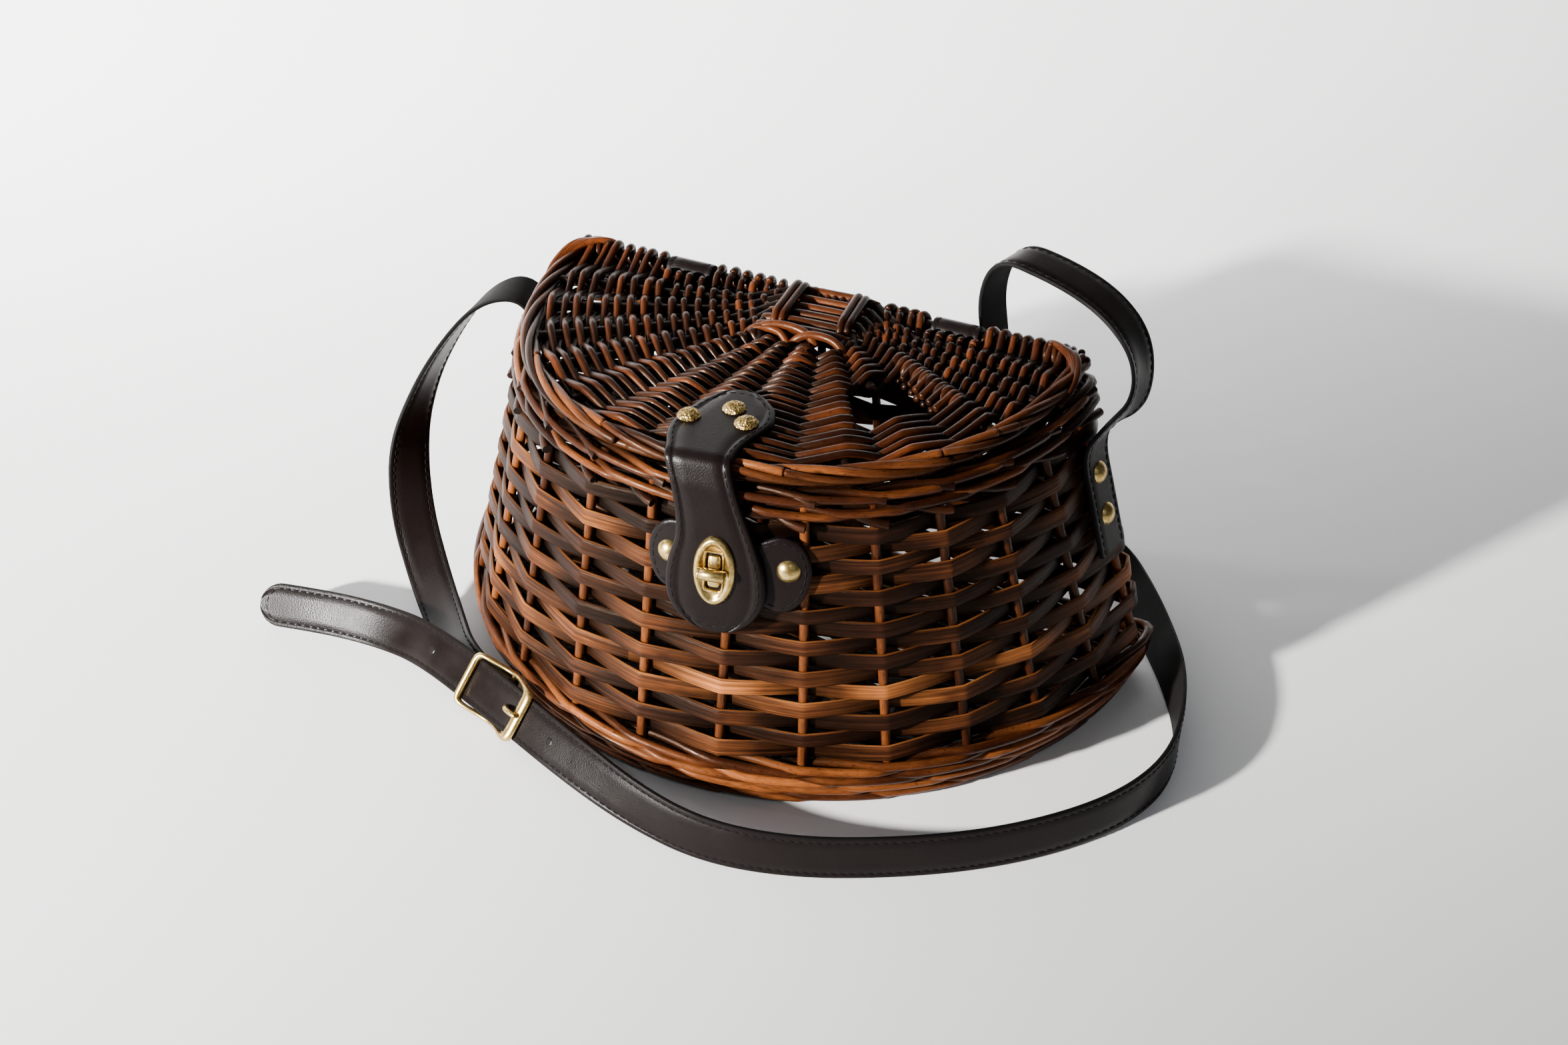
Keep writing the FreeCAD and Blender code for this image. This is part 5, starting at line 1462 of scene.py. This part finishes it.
build = Build()
outer = rounded_box_line(HALF_LONG, HALF_WIDE, FRAME_CORNER, 120)
inner = rounded_box_line(17.3, 11.8, 1.1, 120, centre=(-1.5, 0.0))
rings = []
for share, up in FRAME_RINGS:
    ring = inner + (outer - inner) * share
    rings.append((ring, frame_n(ring) + up))
ring_stack(build, BUCKLE_PLANE, rings)
bar = np.array([[0, w, BAR_DROP] for w in np.linspace(-13.0, 13.0, 12)])
build.rod(BUCKLE_PLANE.at(bar), BAR_R * MM, BUCKLE_PLANE.u, 0.5, sides=14)
buckle = build.make("buckle_loop", "basket", [BRASS], ["buckle_frame"])

build = Build()
arm = smoothed([(u, 0.0, n) for u, n in PRONG_ARM], 2)
taper = np.interp(np.linspace(0, 1, len(arm)), [0, 0.6, 0.97, 1.0], [1.0, 1.15, 1.15, 0.8])
build.rod(BUCKLE_PLANE.at(arm), 1.2 * MM, BUCKLE_PLANE.w, 0.5, sides=14, scale=taper)
a = np.linspace(0, 2 * math.pi, 24)
eye = np.stack([2.0 * np.cos(a), np.zeros(24), BAR_DROP + 2.0 * np.sin(a)], axis=1)
build.strip(BUCKLE_PLANE.at(eye), BUCKLE_PLANE.w, 1.2 * MM, 0.55 * MM, 0.5)
prong = build.make("buckle_tongue", "prong", [BRASS], ["buckle_prong"])


# --- floor and lights -------------------------------------------------------------------------------

# the paper turns up behind the basket along a line turned from its back: degrees, metres
SWEEP_TURN, SWEEP_FOLD, SWEEP_BEND, SWEEP_NEAR, SWEEP_TOP, SWEEP_HALF = 37.0, 0.46, 0.45, -3.5, 3.0, 4.0


def floor():
    """A paper sweep: flat under the basket, rising behind it."""
    mesh = bpy.data.meshes.new("floor")
    turn = math.radians(SWEEP_TURN)
    along = np.array([math.cos(turn), math.sin(turn), 0.0])
    away = np.array([-math.sin(turn), math.cos(turn), 0.0])
    profile = [(SWEEP_NEAR, 0.0), (SWEEP_FOLD, 0.0)]
    profile += [(SWEEP_FOLD + SWEEP_BEND * math.sin(a), SWEEP_BEND - SWEEP_BEND * math.cos(a))
                for a in np.linspace(0.05, math.pi / 2, 28)]
    profile += [(SWEEP_FOLD + SWEEP_BEND, SWEEP_TOP)]
    verts = [tuple(along * x + away * d + UP * z) for d, z in profile for x in (-SWEEP_HALF, SWEEP_HALF)]
    faces = [(2 * i, 2 * i + 1, 2 * i + 3, 2 * i + 2) for i in range(len(profile) - 1)]
    mesh.from_pydata(verts, [], faces)
    mesh.polygons.foreach_set("use_smooth", np.ones(len(mesh.polygons), bool))
    n = Nodes("floor_paper")
    coords = n.add("TexCoord").outputs["Object"]
    cloud = n.noise(coords, 1.6, 2.0)
    n.finish(n.ramp(cloud, (0.3, (0.785, 0.785, 0.785)), (0.7, (0.815, 0.815, 0.82))), 0.8)
    # the paper is seen from its front only, so it doesn't hide the basket in views from behind it
    one_sided = n.add("MixShader")
    n.put(one_sided.inputs[0], n.add("NewGeometry").outputs["Backfacing"])
    n.put(one_sided.inputs[1], n.bsdf.outputs[0])
    n.put(one_sided.inputs[2], n.add("BsdfTransparent").outputs[0])
    n.put(n.tree.nodes["Material Output"].inputs["Surface"], one_sided.outputs[0])
    mesh.materials.append(n.material)
    stage_floor = bpy.data.objects.new("floor", mesh)
    bpy.context.scene.collection.objects.link(stage_floor)


def place_light(name, data, place, aim):
    light = bpy.data.objects.new(name, data)
    bpy.context.scene.collection.objects.link(light)
    light.location = place
    light.rotation_mode = "QUATERNION"
    light.rotation_quaternion = (Vector(aim) - Vector(place)).to_track_quat("-Z", "Y")


def area_light(name, place, aim, size, power, colour):
    data = bpy.data.lights.new(name, "AREA")
    data.shape = "DISK"
    data.size = size
    data.energy = power
    data.color = colour
    place_light(name, data, place, aim)


def spot_light(name, place, aim, radius, cone, power, colour):
    """A soft-edged spot: brightest where it is aimed, fading out towards its cone's edge."""
    data = bpy.data.lights.new(name, "SPOT")
    data.shadow_soft_size = radius
    data.spot_size = math.radians(cone)
    data.spot_blend = 1.0
    data.energy = power
    data.color = colour
    place_light(name, data, place, aim)


def background(tree, colour, strength, node=None):
    node = node or tree.nodes.new("ShaderNodeBackground")
    node.inputs[0].default_value = colour
    node.inputs[1].default_value = strength
    return node.outputs[0]


def make_world():
    """A weak pale light from all round; beyond the paper's edges the room itself is seen paler."""
    world = bpy.data.worlds.new("studio")
    world.use_nodes = True
    tree = world.node_tree
    which = tree.nodes.new("ShaderNodeMixShader")
    camera_ray = tree.nodes.new("ShaderNodeLightPath").outputs["Is Camera Ray"]
    lighting = background(tree, (0.80, 0.84, 0.90, 1), 0.10, tree.nodes["Background"])
    seen = background(tree, (0.97, 0.98, 1.0, 1), 1.5)
    for output, socket in zip((camera_ray, lighting, seen), which.inputs):
        tree.links.new(output, socket)
    tree.links.new(which.outputs[0], tree.nodes["World Output"].inputs["Surface"])
    bpy.context.scene.world = world


floor()
# place, aim, radius, cone in degrees, watts, colour
spot_light("key", (-1.50, -2.40, 1.10), (-0.46, 0.32, 0.0), 0.085, 44.0, 2750.0, (1.0, 0.975, 0.94))
spot_light("backdrop", (-1.9, -0.5, 1.7), (-0.85, 0.75, 0.2), 0.3, 50.0, 950.0, (0.97, 0.985, 1.0))
# lights only the floor in front, which is seen from behind the basket
spot_light("room", (1.5, -1.9, 2.6), (1.5, -1.9, 0.0), 0.4, 86.0, 620.0, (0.97, 0.985, 1.0))
# place, aim, size, watts, colour
area_light("fill", (1.6, -1.4, 1.5), (0.0, 0.0, 0.08), 1.8, 3.0, (0.93, 0.96, 1.0))
area_light("top", (-0.5, 0.3, 2.2), (-0.1, 0.1, 0.0), 1.8, 3.5, (0.95, 0.97, 1.0))
make_world()
